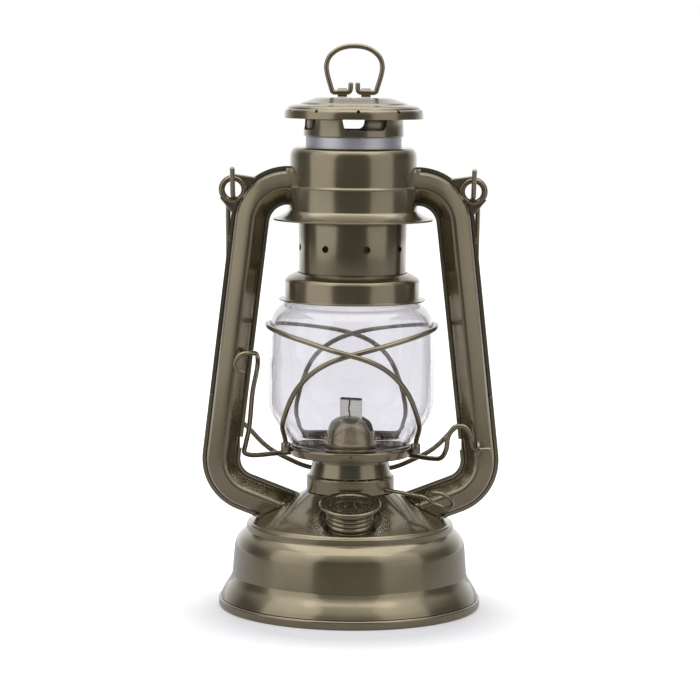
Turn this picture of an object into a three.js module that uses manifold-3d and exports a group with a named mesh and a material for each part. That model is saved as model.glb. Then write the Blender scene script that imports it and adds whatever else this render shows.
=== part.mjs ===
// A small tubular oil lantern: a fount with a side filler, two pressed side tubes that carry fresh air
// down to the burner, a globe on a lifting plate, and a sprung chimney and hood above it.
// Millimetres, +Z up, the filler towards -Y, origin at the middle of the foot.
import * as THREE from "three";
import { mergeVertices } from "three/addons/utils/BufferGeometryUtils.js";
import Module from "manifold-3d";

const wasm = await Module();
wasm.setup();

// Sheet, wire and fit
const sheet = 0.8;
const wireRadius = 1.25;
const seatGap = 0.3;
const slideGap = 0.5;
const cutOverrun = 6;
const weldDistance = 1e-4;
const degree = Math.PI / 180;

// How finely round forms are faceted
const largeSides = 26;
const middleSides = 20;
const smallSides = 14;
const holeSides = 8;
const wireSides = 6;
const wireBendSteps = 4;
const hookBendSteps = 5;

// Fount: rolled foot, flared wall, stepped shoulder and cone
const footRadius = 65.2;
const footHeight = 4.4;
const footBead = 2.6;
const footRound = 0.7;
const floorLift = 1.6;
const skirtInset = 1.0;
const wallInset = 7.2;
const wallRadius = footRadius - wallInset;
const wallLow = 16;
const wallHigh = 29;
const shoulderWidth = 6.4;
const coneRadius = wallRadius - shoulderWidth;
const stepLow = 38.4;
const stepHigh = 41.8;
const coneTopRadius = 22.4;
const coneTopHeight = 57.4;
const tankMouthRadius = 9.6;
const burnerSumpRadius = 9.2;
const burnerSumpDrop = 3.6;

// Filler in its pocket at the front
const fillerTilt = 13.5 * degree;
const fillerInset = 13.6;
const fillerReach = coneRadius - fillerInset;
const fillerRimHeight = 57.4;
const capRimRadius = 15.3;
const capRimDepth = 2.2;
const capDish = 1.3;
const capDishRadius = 12.6;
const capBodyRadius = 11.9;
const capThreadDepth = 0.6;
const capLength = 11.6;
const capThreads = 4;
const fillerNeckRadius = 10.0;
const fillerNeckFlange = 1.8;
const fillerFit = 0.5;
const gasketThickness = 1.2;
const pocketMouthRadius = 16.6;
const pocketFloorRadius = 13.0;
const pocketDepth = 13.0;

// Burner drum under the globe plate
const drumLowRadius = 21.85;
const drumHighRadius = 18.9;
const drumWall = 6.9;
const drumStepHeight = coneTopHeight + seatGap + drumWall;
const drumMouthRadius = 12.9;

// Burner, turned about the axis so that its shaft passes the right tube
const burnerTurn = -22 * degree;
const burnerRadius = 12.3;
const burnerRise = 22;
const burnerTop = coneTopHeight + burnerRise;
const wickWidth = 11.5;
const wickThickness = 2.2;
const wickLow = 16;
const wickShow = 24.8;
const wickHigh = burnerTop + wickShow;
const wickTubeWall = 0.8;
const wickTubeFit = 0.35;
const wickTubeLow = 50;
const wickTubeShow = 12.6;
const wickTubeHigh = burnerTop + wickTubeShow;
const domeRadius = 12.9;
const domeHeight = 15.8;
const domeSlotLength = 15;
const domeSlotWidth = 5.4;
const shaftRise = 4.8;
const shaftHeight = coneTopHeight + shaftRise;
const shaftDrop = 6 * degree;
const shaftOffset = 5.4;
const shaftRadius = 0.95;
const shaftInner = -6;
const keyReach = 50;
const keyLoopRadius = 6.6;
const keyLoopTurn = 40 * degree;
const keyLoopSteps = 14;
const keyLoopFrom = 155 * degree;
const keyLoopTo = -166 * degree;
const sprocketRadius = 4.1;
const sprocketRoot = 3.1;
const sprocketTeeth = 10;
const sprocketWidth = 1.2;
const sprocketSpread = 2.4;
const sprocketHub = 2.0;

// Globe plate with its rim and the ears of the guard
const plateMouthRadius = 13.4;
const plateRise = 18.2;
const plateRimLow = coneTopHeight + plateRise;
const plateRim = 4.6;
const plateRimHigh = plateRimLow + plateRim;
const plateRimRadius = 30.9;
const plateRimFlare = 1.3;
const plateFootRadius = plateRimRadius - plateRimFlare;
const plateFloorDrop = 1.0;
const plateSlots = 16;
const plateSlotLead = 2.8;
const plateSlotFrom = plateMouthRadius + plateSlotLead;
const plateSlotInset = 4.2;
const plateSlotTo = plateFootRadius - plateSlotInset;
const plateSlotWidth = 1.5;
const guardEarAngle = 12 * degree;
const guardEarWall = 0.9;
const guardEarHeight = 5;

// Globe
const globeRadius = 41.2;
const globeWall = 1.8;
const globeSeatInset = 1.4;
const globeFootRadius = plateFootRadius - globeSeatInset;
const globeBowl = 28.9;
const globeFull = plateRimLow + globeBowl;
const globeNeckRadius = 32.3;
const globeHeight = 77.4;
const globeNeckHeight = plateRimLow + globeHeight;
const globeNeckLength = 5.5;
const globeTop = globeNeckHeight + globeNeckLength;

// Guard wire round the globe
const guardTipDrop = 12;
const guardTip = globeNeckHeight - guardTipDrop;
const guardClear = 0.6;
const guardCrossLift = 2.9;
const guardBackRise = 1.7;
const guardBackHeight = plateRimHigh + guardBackRise;
const guardRimGap = 1;
const guardBackRadius = plateRimRadius + guardRimGap;
const guardSaddleWidth = 6;
const guardBackEnd = 327 * degree;
const guardRunFrom = 317 * degree;
const guardRunTo = 223 * degree;

// Collar and pierced chimney over the globe
const collarLow = globeNeckHeight;
const collarSpread = 1.3;
const collarRadius = globeNeckRadius + collarSpread;
const collarFlange = 2.9;
const collarFlangeRadius = collarRadius + collarFlange;
const collarWall = 9.6;
const collarWallTop = collarLow + collarWall;
const collarShoulder = 4.3;
const collarTop = collarWallTop + collarShoulder;
const sleeveRadius = 23.6;
const chimneySpread = 3.2;
const chimneyRadius = sleeveRadius + chimneySpread;
const chimneyPlunge = 5.4;
const chimneyLow = collarTop - chimneyPlunge;
const chimneyLength = 36.5;
const chimneyTop = chimneyLow + chimneyLength;
const chimneyHoles = 8;
const chimneyHoleRadius = 1.8;
const chimneyHoleRise = 18.1;
const chimneyHoleHeight = chimneyLow + chimneyHoleRise;
const chimneyHoleTurn = 15;

// Air drum between the side tubes, with the spring inside
const airSpread = 5;
const airRadius = chimneyRadius + airSpread;
const airFlange = 8;
const airFlangeRadius = airRadius + airFlange;
const airOverlap = 5.4;
const airLow = chimneyTop - airOverlap;
const airFlare = 4.2;
const airRib = 0.5;
const airRibRise = 16.8;
const airRibHeight = airLow + airRibRise;
const airHeight = 36.1;
const airTop = airLow + airHeight;
const airFloorRise = 4.8;
const airFloorHeight = airLow + airFloorRise;
const airDuctWidth = 9.5;
const airDuctHeight = 9.5;
const springWire = 0.6;
const springCoils = 5;
const springSpread = 3.1;
const springRadius = sleeveRadius + springSpread;
const springStepsPerCoil = 8;
const springSides = 5;

// Hood: bare sleeve, windowed ring and crown
const sleeveShow = 7.7;
const sleeveTop = airTop + sleeveShow;
const sleeveLength = 41;
const sleeveLow = sleeveTop - sleeveLength;
const ringBandSpread = 1.1;
const ringBandRadius = sleeveRadius + ringBandSpread;
const ringBandLap = 2.5;
const ringBandLow = sleeveTop - ringBandLap;
const windowSill = 3.3;
const windowLow = ringBandLow + windowSill;
const windowHeight = 5.1;
const windowHigh = windowLow + windowHeight;
const windowCount = 4;
const windowTurn = 14;
const windowHalf = 31;
const windowRound = 2.2;
const windowRoundSteps = 3;
const crownLift = 0.5;
const crownLow = windowHigh + crownLift;
const crownRadius = 34.3;
const crownEdgeRadius = 32.8;
const crownEdgeRise = 5.4;
const crownEdgeHeight = crownLow + crownEdgeRise;
const crownStepRadius = 26.6;
const crownStepRise = 2.2;
const crownStepHeight = crownEdgeHeight + crownStepRise;
const crownTopRadius = 16.6;
const crownTopRise = 2.6;
const crownTop = crownStepHeight + crownTopRise;
const crownHoles = 10;
const crownHoleRadius = 0.8;
const crownHoleRise = 3.8;
const crownHoleHeight = crownLow + crownHoleRise;
const crownHoleTurn = 3.6;
const crownFlangeRadius = 32.8;

// Pull ring on the crown and its two clips
const clipInner = 3.5;
const clipLength = 4.6;
const clipWall = 0.6;
const clipFootWidth = 7.4;
const ringLegFoot = 10.4;
const ringHalfWidth = 13.75;
const ringHeight = 24;
const ringEndX = 1.7;
const ringEndRise = 5;

// Side tubes: one pressed half, mirrored four times
const tubeWidth = 19.3;
const tubeFlange = 2.15;
const tubeDepth = 7.8;
const tubeSheet = 0.7;
const tubeTopRise = 17;
const tubeTopHeight = airLow + tubeTopRise;
const tubeShoulderX = 48.9;
const tubeElbowX = 65.9;
const tubeElbowRise = 4;
const tubeElbowHeight = coneTopHeight + tubeElbowRise;
const tubeRunDrop = 21 * degree;
const tubeRunLength = 42;
const tubeShoulderRadius = 19.1;
const tubeElbowRadius = 17.9;
const tubeArcSteps = 5;
const tubeMouthFlange = 2;
const tubeNotchDepth = 0.9;
const tubeNotchDrop = 1.8;
const tubeNotchRise = 3.7;

// Ears and bail
const earX = 59.3;
const earDrop = 2.3;
const earHeight = tubeTopHeight - earDrop;
const earRadius = 7.1;
const earHole = 4.1;
const bailLean = 9.7 * degree;
const bailHalfWidth = 61.9;
const bailBowDrop = 8.7;
const bailDrop = earHeight - plateRimLow + bailBowDrop;
const hookTip = 14;
const hookLean = 30 * degree;

// Lifting lever and its lug
const lugX = 63.1;
const lugThickness = 1;
const lugRadius = 4.4;
const lugFootWidth = 5;
const leverAxisY = -11;
const leverAxisLift = 0.1;
const leverAxisHeight = plateRimHigh + leverAxisLift;
const tubeNotchLow = leverAxisHeight - tubeNotchDrop;
const tubeNotchHigh = leverAxisHeight + tubeNotchRise;
const leverTailX = 69.5;
const leverArchX = 60.6;
const leverArchRise = 11.6;
const leverArchHeight = leverAxisHeight + leverArchRise;
const leverArchInnerX = 47.4;
const leverCrankY = 21.5;
const leverCrankX = 18;
const leverCornerX = 53.2;
const leverCornerY = 4.2;
const leverRiseX = 46.8;
const leverStandRise = 38.6;
const leverRiseHeight = leverAxisHeight + leverStandRise;
const leverCurlRise = 7.9;
const leverCurlHeight = leverRiseHeight + leverCurlRise;
const leverCurlX = 53.4;
const leverCurlY = -10.9;
const leverCurlTipX = 57.2;
const leverCurlTipHeight = 117.4;

// Paint, glass and the bare parts
const paintColour = 0x6c6350;
const steelColour = 0xb9b6b4;
const glassColour = 0xe8eef2;
const wickColour = 0xe9e4da;
const rubberColour = 0x1d1b19;
const brassColour = 0xa88a4a;

const paint = new THREE.MeshStandardMaterial({ color: paintColour, roughness: 0.38, metalness: 0.8 });
const steel = new THREE.MeshStandardMaterial({ color: steelColour, roughness: 0.3, metalness: 1 });
const brass = new THREE.MeshStandardMaterial({ color: brassColour, roughness: 0.35, metalness: 1 });
const glass = new THREE.MeshStandardMaterial({ color: glassColour, roughness: 0.05, opacity: 0.3 });
const cotton = new THREE.MeshStandardMaterial({ color: wickColour, roughness: 0.95, metalness: 0 });
const rubber = new THREE.MeshStandardMaterial({ color: rubberColour, roughness: 0.8, metalness: 0 });
glass.transparent = true;

const lantern = new THREE.Group();

// Places a geometry, or a solid from a boolean, as one named mesh.
function place(name, form, material, parent = lantern) {
  const geometry = form.isBufferGeometry ? form : asGeometry(form);
  const mesh = new THREE.Mesh(geometry, material);
  mesh.name = name;
  parent.add(mesh);
  return mesh;
}

// A closed geometry as a solid that can be joined and cut.
function asSolid(geometry) {
  const bare = geometry.index ? geometry.toNonIndexed() : geometry.clone();
  bare.deleteAttribute("normal");
  bare.deleteAttribute("uv");
  const merged = mergeVertices(bare, weldDistance);
  const corners = merged.index.array;
  const kept = [];
  for (let i = 0; i < corners.length; i += 3) {
    const face = [corners[i], corners[i + 1], corners[i + 2]];
    if (new Set(face).size === face.length) kept.push(...face);
  }
  const vertProperties = merged.attributes.position.array;
  return new wasm.Manifold(new wasm.Mesh({ numProp: 3, vertProperties, triVerts: Uint32Array.from(kept) }));
}

function asGeometry(solid) {
  const mesh = solid.getMesh();
  const geometry = new THREE.BufferGeometry();
  geometry.setAttribute("position", new THREE.BufferAttribute(mesh.vertProperties, 3));
  geometry.setIndex(new THREE.BufferAttribute(mesh.triVerts, 1));
  geometry.computeVertexNormals();
  return geometry;
}

function at(radius, height) {
  return new THREE.Vector2(radius, height);
}

function mix(from, to, share) {
  return from + (to - from) * share;
}

// Points between two corners of an outline, by the share of the way across and the share of the way up.
function eased(from, to, shares) {
  return shares.map(([across, up]) => at(mix(from.x, to.x, across), mix(from.y, to.y, up)));
}

// The outline moved sideways by a distance, to the left of its direction, with mitred corners.
function offset(points, distance) {
  return points.map((corner, i) => {
    const before = points[Math.max(i - 1, 0)];
    const after = points[Math.min(i + 1, points.length - 1)];
    const arriving = (i > 0 ? corner.clone().sub(before) : after.clone().sub(corner)).normalize();
    const leaving = (i < points.length - 1 ? after.clone().sub(corner) : arriving.clone()).normalize();
    const side = at(-arriving.y - leaving.y, arriving.x + leaving.x).normalize();
    const spread = side.dot(at(-arriving.y, arriving.x));
    const moved = corner.clone().addScaledVector(side, distance / spread);
    return at(corner.x === 0 ? 0 : moved.x, moved.y);
  });
}

// A sheet that follows the outline, with its thickness to the left of the outline's direction.
function thicken(points, wall) {
  return [...points, ...offset(points, wall).reverse()];
}

// A closed outline of radius and height, turned about the Z axis.
function turned(outline, sides) {
  const upward = THREE.ShapeUtils.isClockWise(outline) ? [...outline].reverse() : [...outline];
  const onAxis = upward[0].x === 0 && upward[upward.length - 1].x === 0;
  const profile = onAxis ? upward : [...upward, upward[0]];
  return new THREE.LatheGeometry(profile, sides).rotateX(Math.PI / 2);
}

// A ring of rectangular section.
function washer(inner, outer, low, high, sides) {
  return turned([at(inner, low), at(outer, low), at(outer, high), at(inner, high)], sides);
}

// A round bar along Z.
function bar(radius, low, high, sides) {
  return turned([at(0, low), at(radius, low), at(radius, high), at(0, high)], sides);
}

// A bar that runs outwards along +X, from one radius to another, turned about Z.
function spoke(radius, from, to, height, turn, sides) {
  return bar(radius, from, to, sides).rotateY(Math.PI / 2).translate(0, 0, height).rotateZ(turn);
}

function box(low, high) {
  const size = high.clone().sub(low);
  const middle = low.clone().add(high).multiplyScalar(1 / 2);
  return new THREE.BoxGeometry(size.x, size.y, size.z).translate(middle.x, middle.y, middle.z);
}

function point(x, y, z) {
  return new THREE.Vector3(x, y, z);
}

// A route through corners, each rounded with its own radius.
function rounded(corners, radii, steps) {
  const route = [corners[0]];
  radii.forEach((radius, i) => {
    const corner = corners[i + 1];
    const back = corners[i].clone().sub(corner).normalize();
    const on = corners[i + 2].clone().sub(corner).normalize();
    const half = back.angleTo(on) / 2;
    const centre = back.clone().add(on).normalize().multiplyScalar(radius / Math.sin(half)).add(corner);
    const from = back.clone().multiplyScalar(radius / Math.tan(half)).add(corner).sub(centre);
    const to = on.clone().multiplyScalar(radius / Math.tan(half)).add(corner).sub(centre);
    const sweep = from.angleTo(to);
    for (let step = 0; step <= steps; step++) {
      const share = step / steps;
      const arm = from.clone().multiplyScalar(Math.sin((1 - share) * sweep));
      arm.addScaledVector(to, Math.sin(share * sweep)).divideScalar(Math.sin(sweep));
      route.push(arm.add(centre));
    }
  });
  route.push(corners[corners.length - 1]);
  return route;
}

// A curve whose stations are its own points, so that bends get more of them than straights.
class Stations extends THREE.CatmullRomCurve3 {
  getPointAt(share, target) {
    return this.getPoint(share, target);
  }
  getTangentAt(share, target) {
    return this.getTangent(share, target);
  }
  // Frames carried on from a first side, so that a flat route keeps its section square to its plane.
  computeFrenetFrames(steps) {
    const frames = { tangents: [], normals: [], binormals: [] };
    for (let step = 0; step <= steps; step++) {
      const tangent = this.getTangent(step / steps);
      const upright = Math.abs(tangent.y) < Math.SQRT1_2 ? point(0, 1, 0) : point(1, 0, 0);
      const side = step ? frames.binormals[step - 1] : upright;
      const normal = side.clone().cross(tangent).normalize();
      frames.tangents.push(tangent);
      frames.normals.push(normal);
      frames.binormals.push(tangent.clone().cross(normal));
    }
    return frames;
  }
}

function regular(radius, sides) {
  return Array.from({ length: sides }, (_, i) => {
    const turn = (i / sides) * 2 * Math.PI;
    return at(radius * Math.cos(turn), radius * Math.sin(turn));
  });
}

// A section swept along a route, square to it at each station.
function swept(section, route) {
  const settings = { steps: route.length - 1, bevelEnabled: false, extrudePath: new Stations(route) };
  return new THREE.ExtrudeGeometry(new THREE.Shape(section), settings);
}

function wire(route, radius = wireRadius, sides = wireSides) {
  return swept(regular(radius, sides), route);
}

function mirroredX(route) {
  return route.map((station) => point(-station.x, station.y, station.z)).reverse();
}

// FOUNT
const flareShares = [[0.14, 0.2], [0.41, 0.48], [0.73, 0.76], [0.9, 1]];
const shoulderShares = [[0.08, 0.28], [0.33, 0.62], [0.66, 0.85], [0.92, 0.98]];
const skirt = at(footRadius - skirtInset, footHeight + seatGap);
const wallFoot = at(wallRadius, wallLow);
const wallHead = at(wallRadius - sheet / 2, wallHigh);
const stepFoot = at(coneRadius, stepLow);
const coneHead = at(coneTopRadius, coneTopHeight);
const tankOutline = [
  skirt,
  ...eased(skirt, wallFoot, flareShares),
  wallHead,
  ...eased(wallHead, stepFoot, shoulderShares),
  stepFoot,
  at(coneRadius, stepHigh - sheet),
  at(coneRadius - sheet, stepHigh),
  coneHead,
];

// Height of the cone's surface at a radius.
function coneHeightAt(radius) {
  return mix(stepHigh, coneTopHeight, (coneRadius - sheet - radius) / (coneRadius - sheet - coneTopRadius));
}

// A form modelled about its own axis, set on the tilted axis of the filler with z = 0 at the cap's rim.
function onFiller(geometry) {
  return geometry.rotateX(fillerTilt).translate(0, -fillerReach, fillerRimHeight);
}

function filledTank(outline, low) {
  const head = outline[outline.length - 1];
  return asSolid(turned([at(0, low), at(outline[0].x, low), ...outline, at(0, head.y)], largeSides));
}

function pocket(grow) {
  const rise = capRimDepth + cutOverrun;
  const spread = (pocketMouthRadius - pocketFloorRadius) / pocketDepth;
  const outline = [
    at(0, -pocketDepth - grow),
    at(pocketFloorRadius + grow, -pocketDepth - grow),
    at(pocketMouthRadius + spread * rise + grow, rise),
    at(0, rise),
  ];
  return asSolid(onFiller(turned(outline, middleSides)));
}

const tankInner = offset(tankOutline, sheet);
const fillerHole = asSolid(
  onFiller(bar(fillerNeckRadius + seatGap, -pocketDepth - cutOverrun, 0, smallSides)),
);
const tankMouth = asSolid(
  bar(tankMouthRadius, coneTopHeight - cutOverrun, coneTopHeight + cutOverrun, smallSides),
);
const tankShell = filledTank(tankOutline, skirt.y)
  .subtract(pocket(0))
  .subtract(filledTank(tankInner, skirt.y - cutOverrun).subtract(pocket(sheet)))
  .subtract(fillerHole)
  .subtract(tankMouth);

place("tank_shell", tankShell, paint);

const beadInner = footRadius - footBead;
place(
  "tank_floor",
  turned(
    [
      at(0, floorLift),
      at(beadInner, floorLift),
      at(beadInner + footRound, 0),
      at(footRadius - footRound, 0),
      at(footRadius, footRound),
      at(footRadius, footHeight - footRound),
      at(footRadius - footRound, footHeight),
      at(beadInner + footRound, footHeight),
      at(beadInner, floorLift + sheet + footRound),
      at(beadInner - footRound, floorLift + sheet),
      at(0, floorLift + sheet),
    ],
    largeSides,
  ),
  paint,
);

// FILLER
const neckInner = fillerNeckRadius - sheet;
const neckFoot = -pocketDepth + seatGap;
const neckTop = -capDish - sheet - seatGap - gasketThickness - seatGap;
place(
  "filler_neck",
  onFiller(
    turned(
      [
        at(neckInner, neckFoot - fillerNeckFlange - sheet),
        at(fillerNeckRadius, neckFoot - fillerNeckFlange - sheet),
        at(fillerNeckRadius, neckFoot),
        at(fillerNeckRadius + fillerNeckFlange, neckFoot),
        at(fillerNeckRadius + fillerNeckFlange, neckFoot + sheet),
        at(fillerNeckRadius, neckFoot + sheet),
        at(fillerNeckRadius, neckTop),
        at(neckInner, neckTop),
      ],
      middleSides,
    ),
  ),
  paint,
);

place(
  "filler_gasket",
  onFiller(
    turned(
      [
        at(0, neckTop + seatGap),
        at(fillerNeckRadius, neckTop + seatGap),
        at(fillerNeckRadius, neckTop + seatGap + gasketThickness),
        at(0, neckTop + seatGap + gasketThickness),
      ],
      smallSides,
    ),
  ),
  rubber,
);

const capBore = fillerNeckRadius + fillerFit;
const threadPitch = (capLength - capRimDepth) / capThreads;
const threadShares = [0.15, 0.35, 0.65, 0.85];
const capThread = [];
for (let turn = 0; turn < capThreads; turn++) {
  const low = -capLength + turn * threadPitch;
  const [groove, crest, crestEnd, grooveEnd] = threadShares.map((share) => low + share * threadPitch);
  capThread.push(at(capBodyRadius - capThreadDepth, groove), at(capBodyRadius, crest));
  capThread.push(at(capBodyRadius, crestEnd), at(capBodyRadius - capThreadDepth, grooveEnd));
}
place(
  "filler_cap",
  onFiller(
    turned(
      [
        at(capBore, -capLength),
        at(capBodyRadius - capThreadDepth, -capLength),
        ...capThread,
        at(capBodyRadius, -capRimDepth),
        at(capRimRadius, -capRimDepth + sheet),
        at(capRimRadius, -sheet / 2),
        at(capRimRadius - sheet, 0),
        at(capDishRadius, -sheet / 2),
        at(capDishRadius - capDish, -capDish),
        at(0, -capDish),
        at(0, -capDish - sheet),
        at(capBore, -capDish - sheet),
      ],
      middleSides,
    ),
  ),
  paint,
);

// BURNER
const plateFloorTop = plateRimLow + plateFloorDrop + sheet;
const burnerDrumTop = plateRimLow + plateFloorDrop - seatGap;
const burnerFoot = coneTopHeight + seatGap;
const drumShoulderShares = [[0, 0], [0.2, 0.09], [0.5, 0.11], [0.56, 0.2], [0.82, 0.45], [1, 0.7]];
const drumShoulder = at(drumLowRadius, drumStepHeight);
const drumHead = at(drumHighRadius, burnerDrumTop - sheet / 2);

// The burner's own frame: x along the wick's width and the shaft, y across the wick.
function onBurner(geometry) {
  return geometry.rotateZ(burnerTurn);
}

// A form modelled about Z, laid along the wick shaft, with z = 0 over the burner's axis.
function onShaft(geometry) {
  return onBurner(
    geometry.rotateY(Math.PI / 2 + shaftDrop).translate(0, -shaftOffset, shaftHeight),
  );
}

const shaftBore = () => asSolid(onShaft(bar(shaftRadius + seatGap, 0, keyReach / 2, holeSides)));
const collarSolid = asSolid(
  turned(
    thicken(
      [
        at(drumLowRadius, burnerFoot),
        ...eased(drumShoulder, drumHead, drumShoulderShares),
        drumHead,
        at(drumHighRadius - sheet / 2, burnerDrumTop),
        at(drumMouthRadius, burnerDrumTop),
      ],
      sheet,
    ),
    middleSides,
  ),
);
place("burner_drum", collarSolid.subtract(shaftBore()), paint);

const tubeInnerHalf = wickThickness / 2 + wickTubeFit;
const tubeInnerSide = wickWidth / 2 + wickTubeFit;
const tubeOuterHalf = tubeInnerHalf + wickTubeWall;
const tubeOuterSide = tubeInnerSide + wickTubeWall;

// A flat channel about the burner's axis: half its width along the wick, half its depth across it.
function channel(side, half, low, high) {
  return asSolid(onBurner(box(point(-side, -half, low), point(side, half, high))));
}

// A cup with a narrower sump, made smaller all round by a wall.
function burnerCup(wall) {
  const outline = [
    at(0, burnerFoot - burnerSumpDrop + wall),
    at(burnerSumpRadius - wall, burnerFoot - burnerSumpDrop + wall),
    at(burnerSumpRadius - wall, burnerFoot + wall),
    at(burnerRadius - wall, burnerFoot + wall),
    at(burnerRadius - wall, burnerTop - wall),
    at(0, burnerTop - wall),
  ];
  return asSolid(turned(outline, middleSides));
}

const wickTubeHole = channel(
  tubeOuterSide + seatGap,
  tubeOuterHalf + seatGap,
  burnerFoot - cutOverrun,
  burnerTop + cutOverrun,
);
const burnerBody = burnerCup(0)
  .subtract(burnerCup(sheet))
  .subtract(wickTubeHole)
  .subtract(shaftBore());
place("burner_body", burnerBody, brass);

const toothWindow = asSolid(
  onBurner(
    box(
      point(-sprocketSpread - sprocketWidth, -tubeOuterHalf - cutOverrun, shaftHeight - sprocketRadius),
      point(sprocketSpread + sprocketWidth, -wickThickness / 2, shaftHeight + sprocketRadius),
    ),
  ),
);
const wickTube = channel(tubeOuterSide, tubeOuterHalf, wickTubeLow, wickTubeHigh)
  .subtract(channel(tubeInnerSide, tubeInnerHalf, wickTubeLow - cutOverrun, wickTubeHigh + cutOverrun))
  .subtract(toothWindow);
place("wick_tube", wickTube, brass);

place("wick", channel(wickWidth / 2, wickThickness / 2, wickLow, wickHigh), cotton);

const domeShares = [
  [0, 0.145], [0.047, 0.195], [0.054, 0.3], [0.116, 0.54], [0.27, 0.774], [0.52, 0.93], [0.83, 0.994],
];
const domeFoot = at(domeRadius, burnerTop + seatGap);
const domeHead = at(0, burnerTop + seatGap + domeHeight);
const domeOutline = [domeFoot, ...eased(domeFoot, domeHead, domeShares), domeHead];
const domeShell = turned(thicken(domeOutline, sheet), middleSides);
const domeSlotLow = domeHead.y - domeHeight / 2;
const domeSlot = channel(domeSlotLength / 2, domeSlotWidth / 2, domeSlotLow, domeHead.y + cutOverrun);
place("burner_dome", asSolid(domeShell).subtract(domeSlot), paint);

// Wick key: the shaft's wire, bent at its outer end into an open loop that leans over.
const keyBendShare = 0.4;
const keyEntry = keyReach - keyLoopRadius - shaftRadius - wireRadius;

// A point of the loop's plane, by its distance along the shaft and its reach from it.
function onLoop(along, reach) {
  return point(reach * Math.sin(keyLoopTurn), reach * Math.cos(keyLoopTurn), along);
}

const keyRoute = [
  onLoop(shaftInner, 0),
  onLoop(keyEntry - keyLoopRadius, 0),
  onLoop(keyEntry, wireRadius * keyBendShare),
];
for (let step = 0; step <= keyLoopSteps; step++) {
  const turn = mix(keyLoopFrom, keyLoopTo, step / keyLoopSteps);
  keyRoute.push(onLoop(keyReach + keyLoopRadius * Math.cos(turn), keyLoopRadius * Math.sin(turn)));
}
place("wick_key", onShaft(wire(keyRoute, shaftRadius, holeSides)), paint);

const toothedOutline = Array.from({ length: 2 * sprocketTeeth }, (_, i) => {
  const turn = (i / sprocketTeeth) * Math.PI;
  const reach = i % 2 ? sprocketRoot : sprocketRadius;
  return at(reach * Math.cos(turn), reach * Math.sin(turn));
});
const discSettings = { depth: sprocketWidth, bevelEnabled: false };
const toothedDisc = (along) =>
  asSolid(new THREE.ExtrudeGeometry(new THREE.Shape(toothedOutline), discSettings).translate(0, 0, along));
const hubHalf = sprocketSpread + sprocketWidth / 2;
const sprocketBore = asSolid(
  bar(shaftRadius + seatGap, -hubHalf - cutOverrun, hubHalf + cutOverrun, holeSides),
);
const sprocket = toothedDisc(-hubHalf)
  .add(toothedDisc(sprocketSpread - sprocketWidth / 2))
  .add(asSolid(bar(sprocketHub, -hubHalf, hubHalf, holeSides)))
  .subtract(sprocketBore);
place("wick_sprocket", onShaft(asGeometry(sprocket)), brass);

// GLOBE PLATE
const plateFloor = plateRimLow + plateFloorDrop;
const plateOutline = [
  at(plateMouthRadius, plateFloor),
  at(globeFootRadius, plateFloor),
  at(globeFootRadius + seatGap, plateRimLow),
  at(plateFootRadius, plateRimLow),
  at(plateRimRadius, plateRimHigh - sheet),
  at(plateRimRadius - seatGap, plateRimHigh),
  at(plateRimRadius - sheet, plateRimHigh),
  at(plateFootRadius - seatGap, plateRimHigh - sheet),
  at(plateFootRadius - sheet, plateFloorTop),
  at(plateMouthRadius, plateFloorTop),
];
let plate = asSolid(turned(plateOutline, largeSides));
for (let i = 0; i < plateSlots; i++) {
  const low = point(plateSlotFrom, -plateSlotWidth / 2, plateFloor - cutOverrun);
  const slot = box(low, point(plateSlotTo, plateSlotWidth / 2, plateFloor + cutOverrun));
  plate = plate.subtract(asSolid(slot.rotateZ(((i + 1 / 2) / plateSlots) * 2 * Math.PI)));
}
const earBore = wireRadius + seatGap;
const guardEarReach = plateRimRadius + earBore + guardEarWall / 2;
const guardEarTop = plateFloorTop + guardEarHeight;
for (const side of [-1, 1]) {
  const turn = side < 0 ? Math.PI + guardEarAngle : -guardEarAngle;
  const x = guardEarReach * Math.cos(turn);
  const y = guardEarReach * Math.sin(turn);
  const barrel = bar(earBore + guardEarWall, plateFloorTop, guardEarTop, smallSides);
  const bore = bar(earBore, plateFloorTop - cutOverrun, guardEarTop + cutOverrun, smallSides);
  plate = plate.add(asSolid(barrel.translate(x, y, 0))).subtract(asSolid(bore.translate(x, y, 0)));
}
const saddle = box(
  point(-guardSaddleWidth / 2, plateRimRadius - sheet, plateRimHigh - guardEarWall - sheet),
  point(guardSaddleWidth / 2, guardBackRadius + wireRadius, guardBackHeight - wireRadius - seatGap),
);
place("globe_plate", plate.add(asSolid(saddle)), paint);

// GLOBE
const globeFootShares = [
  [0.069, 0.092], [0.092, 0.137], [0.362, 0.335], [0.669, 0.53], [0.885, 0.717], [0.985, 0.906],
];
const globeHeadShares = [[0.02, 0.4], [0.07, 0.6], [0.26, 0.79], [0.58, 0.9], [0.86, 0.965]];
const globeBellyTop = 119;
const globeFoot = at(globeFootRadius, plateFloorTop + seatGap);
const globeBelly = at(globeRadius, globeFull);
const globeNeck = at(globeNeckRadius, globeNeckHeight);
const globeOutline = [
  globeFoot,
  ...eased(globeFoot, globeBelly, globeFootShares),
  globeBelly,
  at(globeRadius, globeBellyTop),
  ...eased(at(globeRadius, globeBellyTop), globeNeck, globeHeadShares),
  globeNeck,
  at(globeNeckRadius, globeTop),
];
place("globe", turned(thicken(globeOutline, globeWall), largeSides), glass);

// Radius of the globe's outside at a height.
function globeRadiusAt(height) {
  const i = Math.max(1, globeOutline.findIndex((corner) => corner.y >= height));
  const [low, high] = [globeOutline[i - 1], globeOutline[i]];
  return mix(low.x, high.x, (height - low.y) / (high.y - low.y));
}

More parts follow.
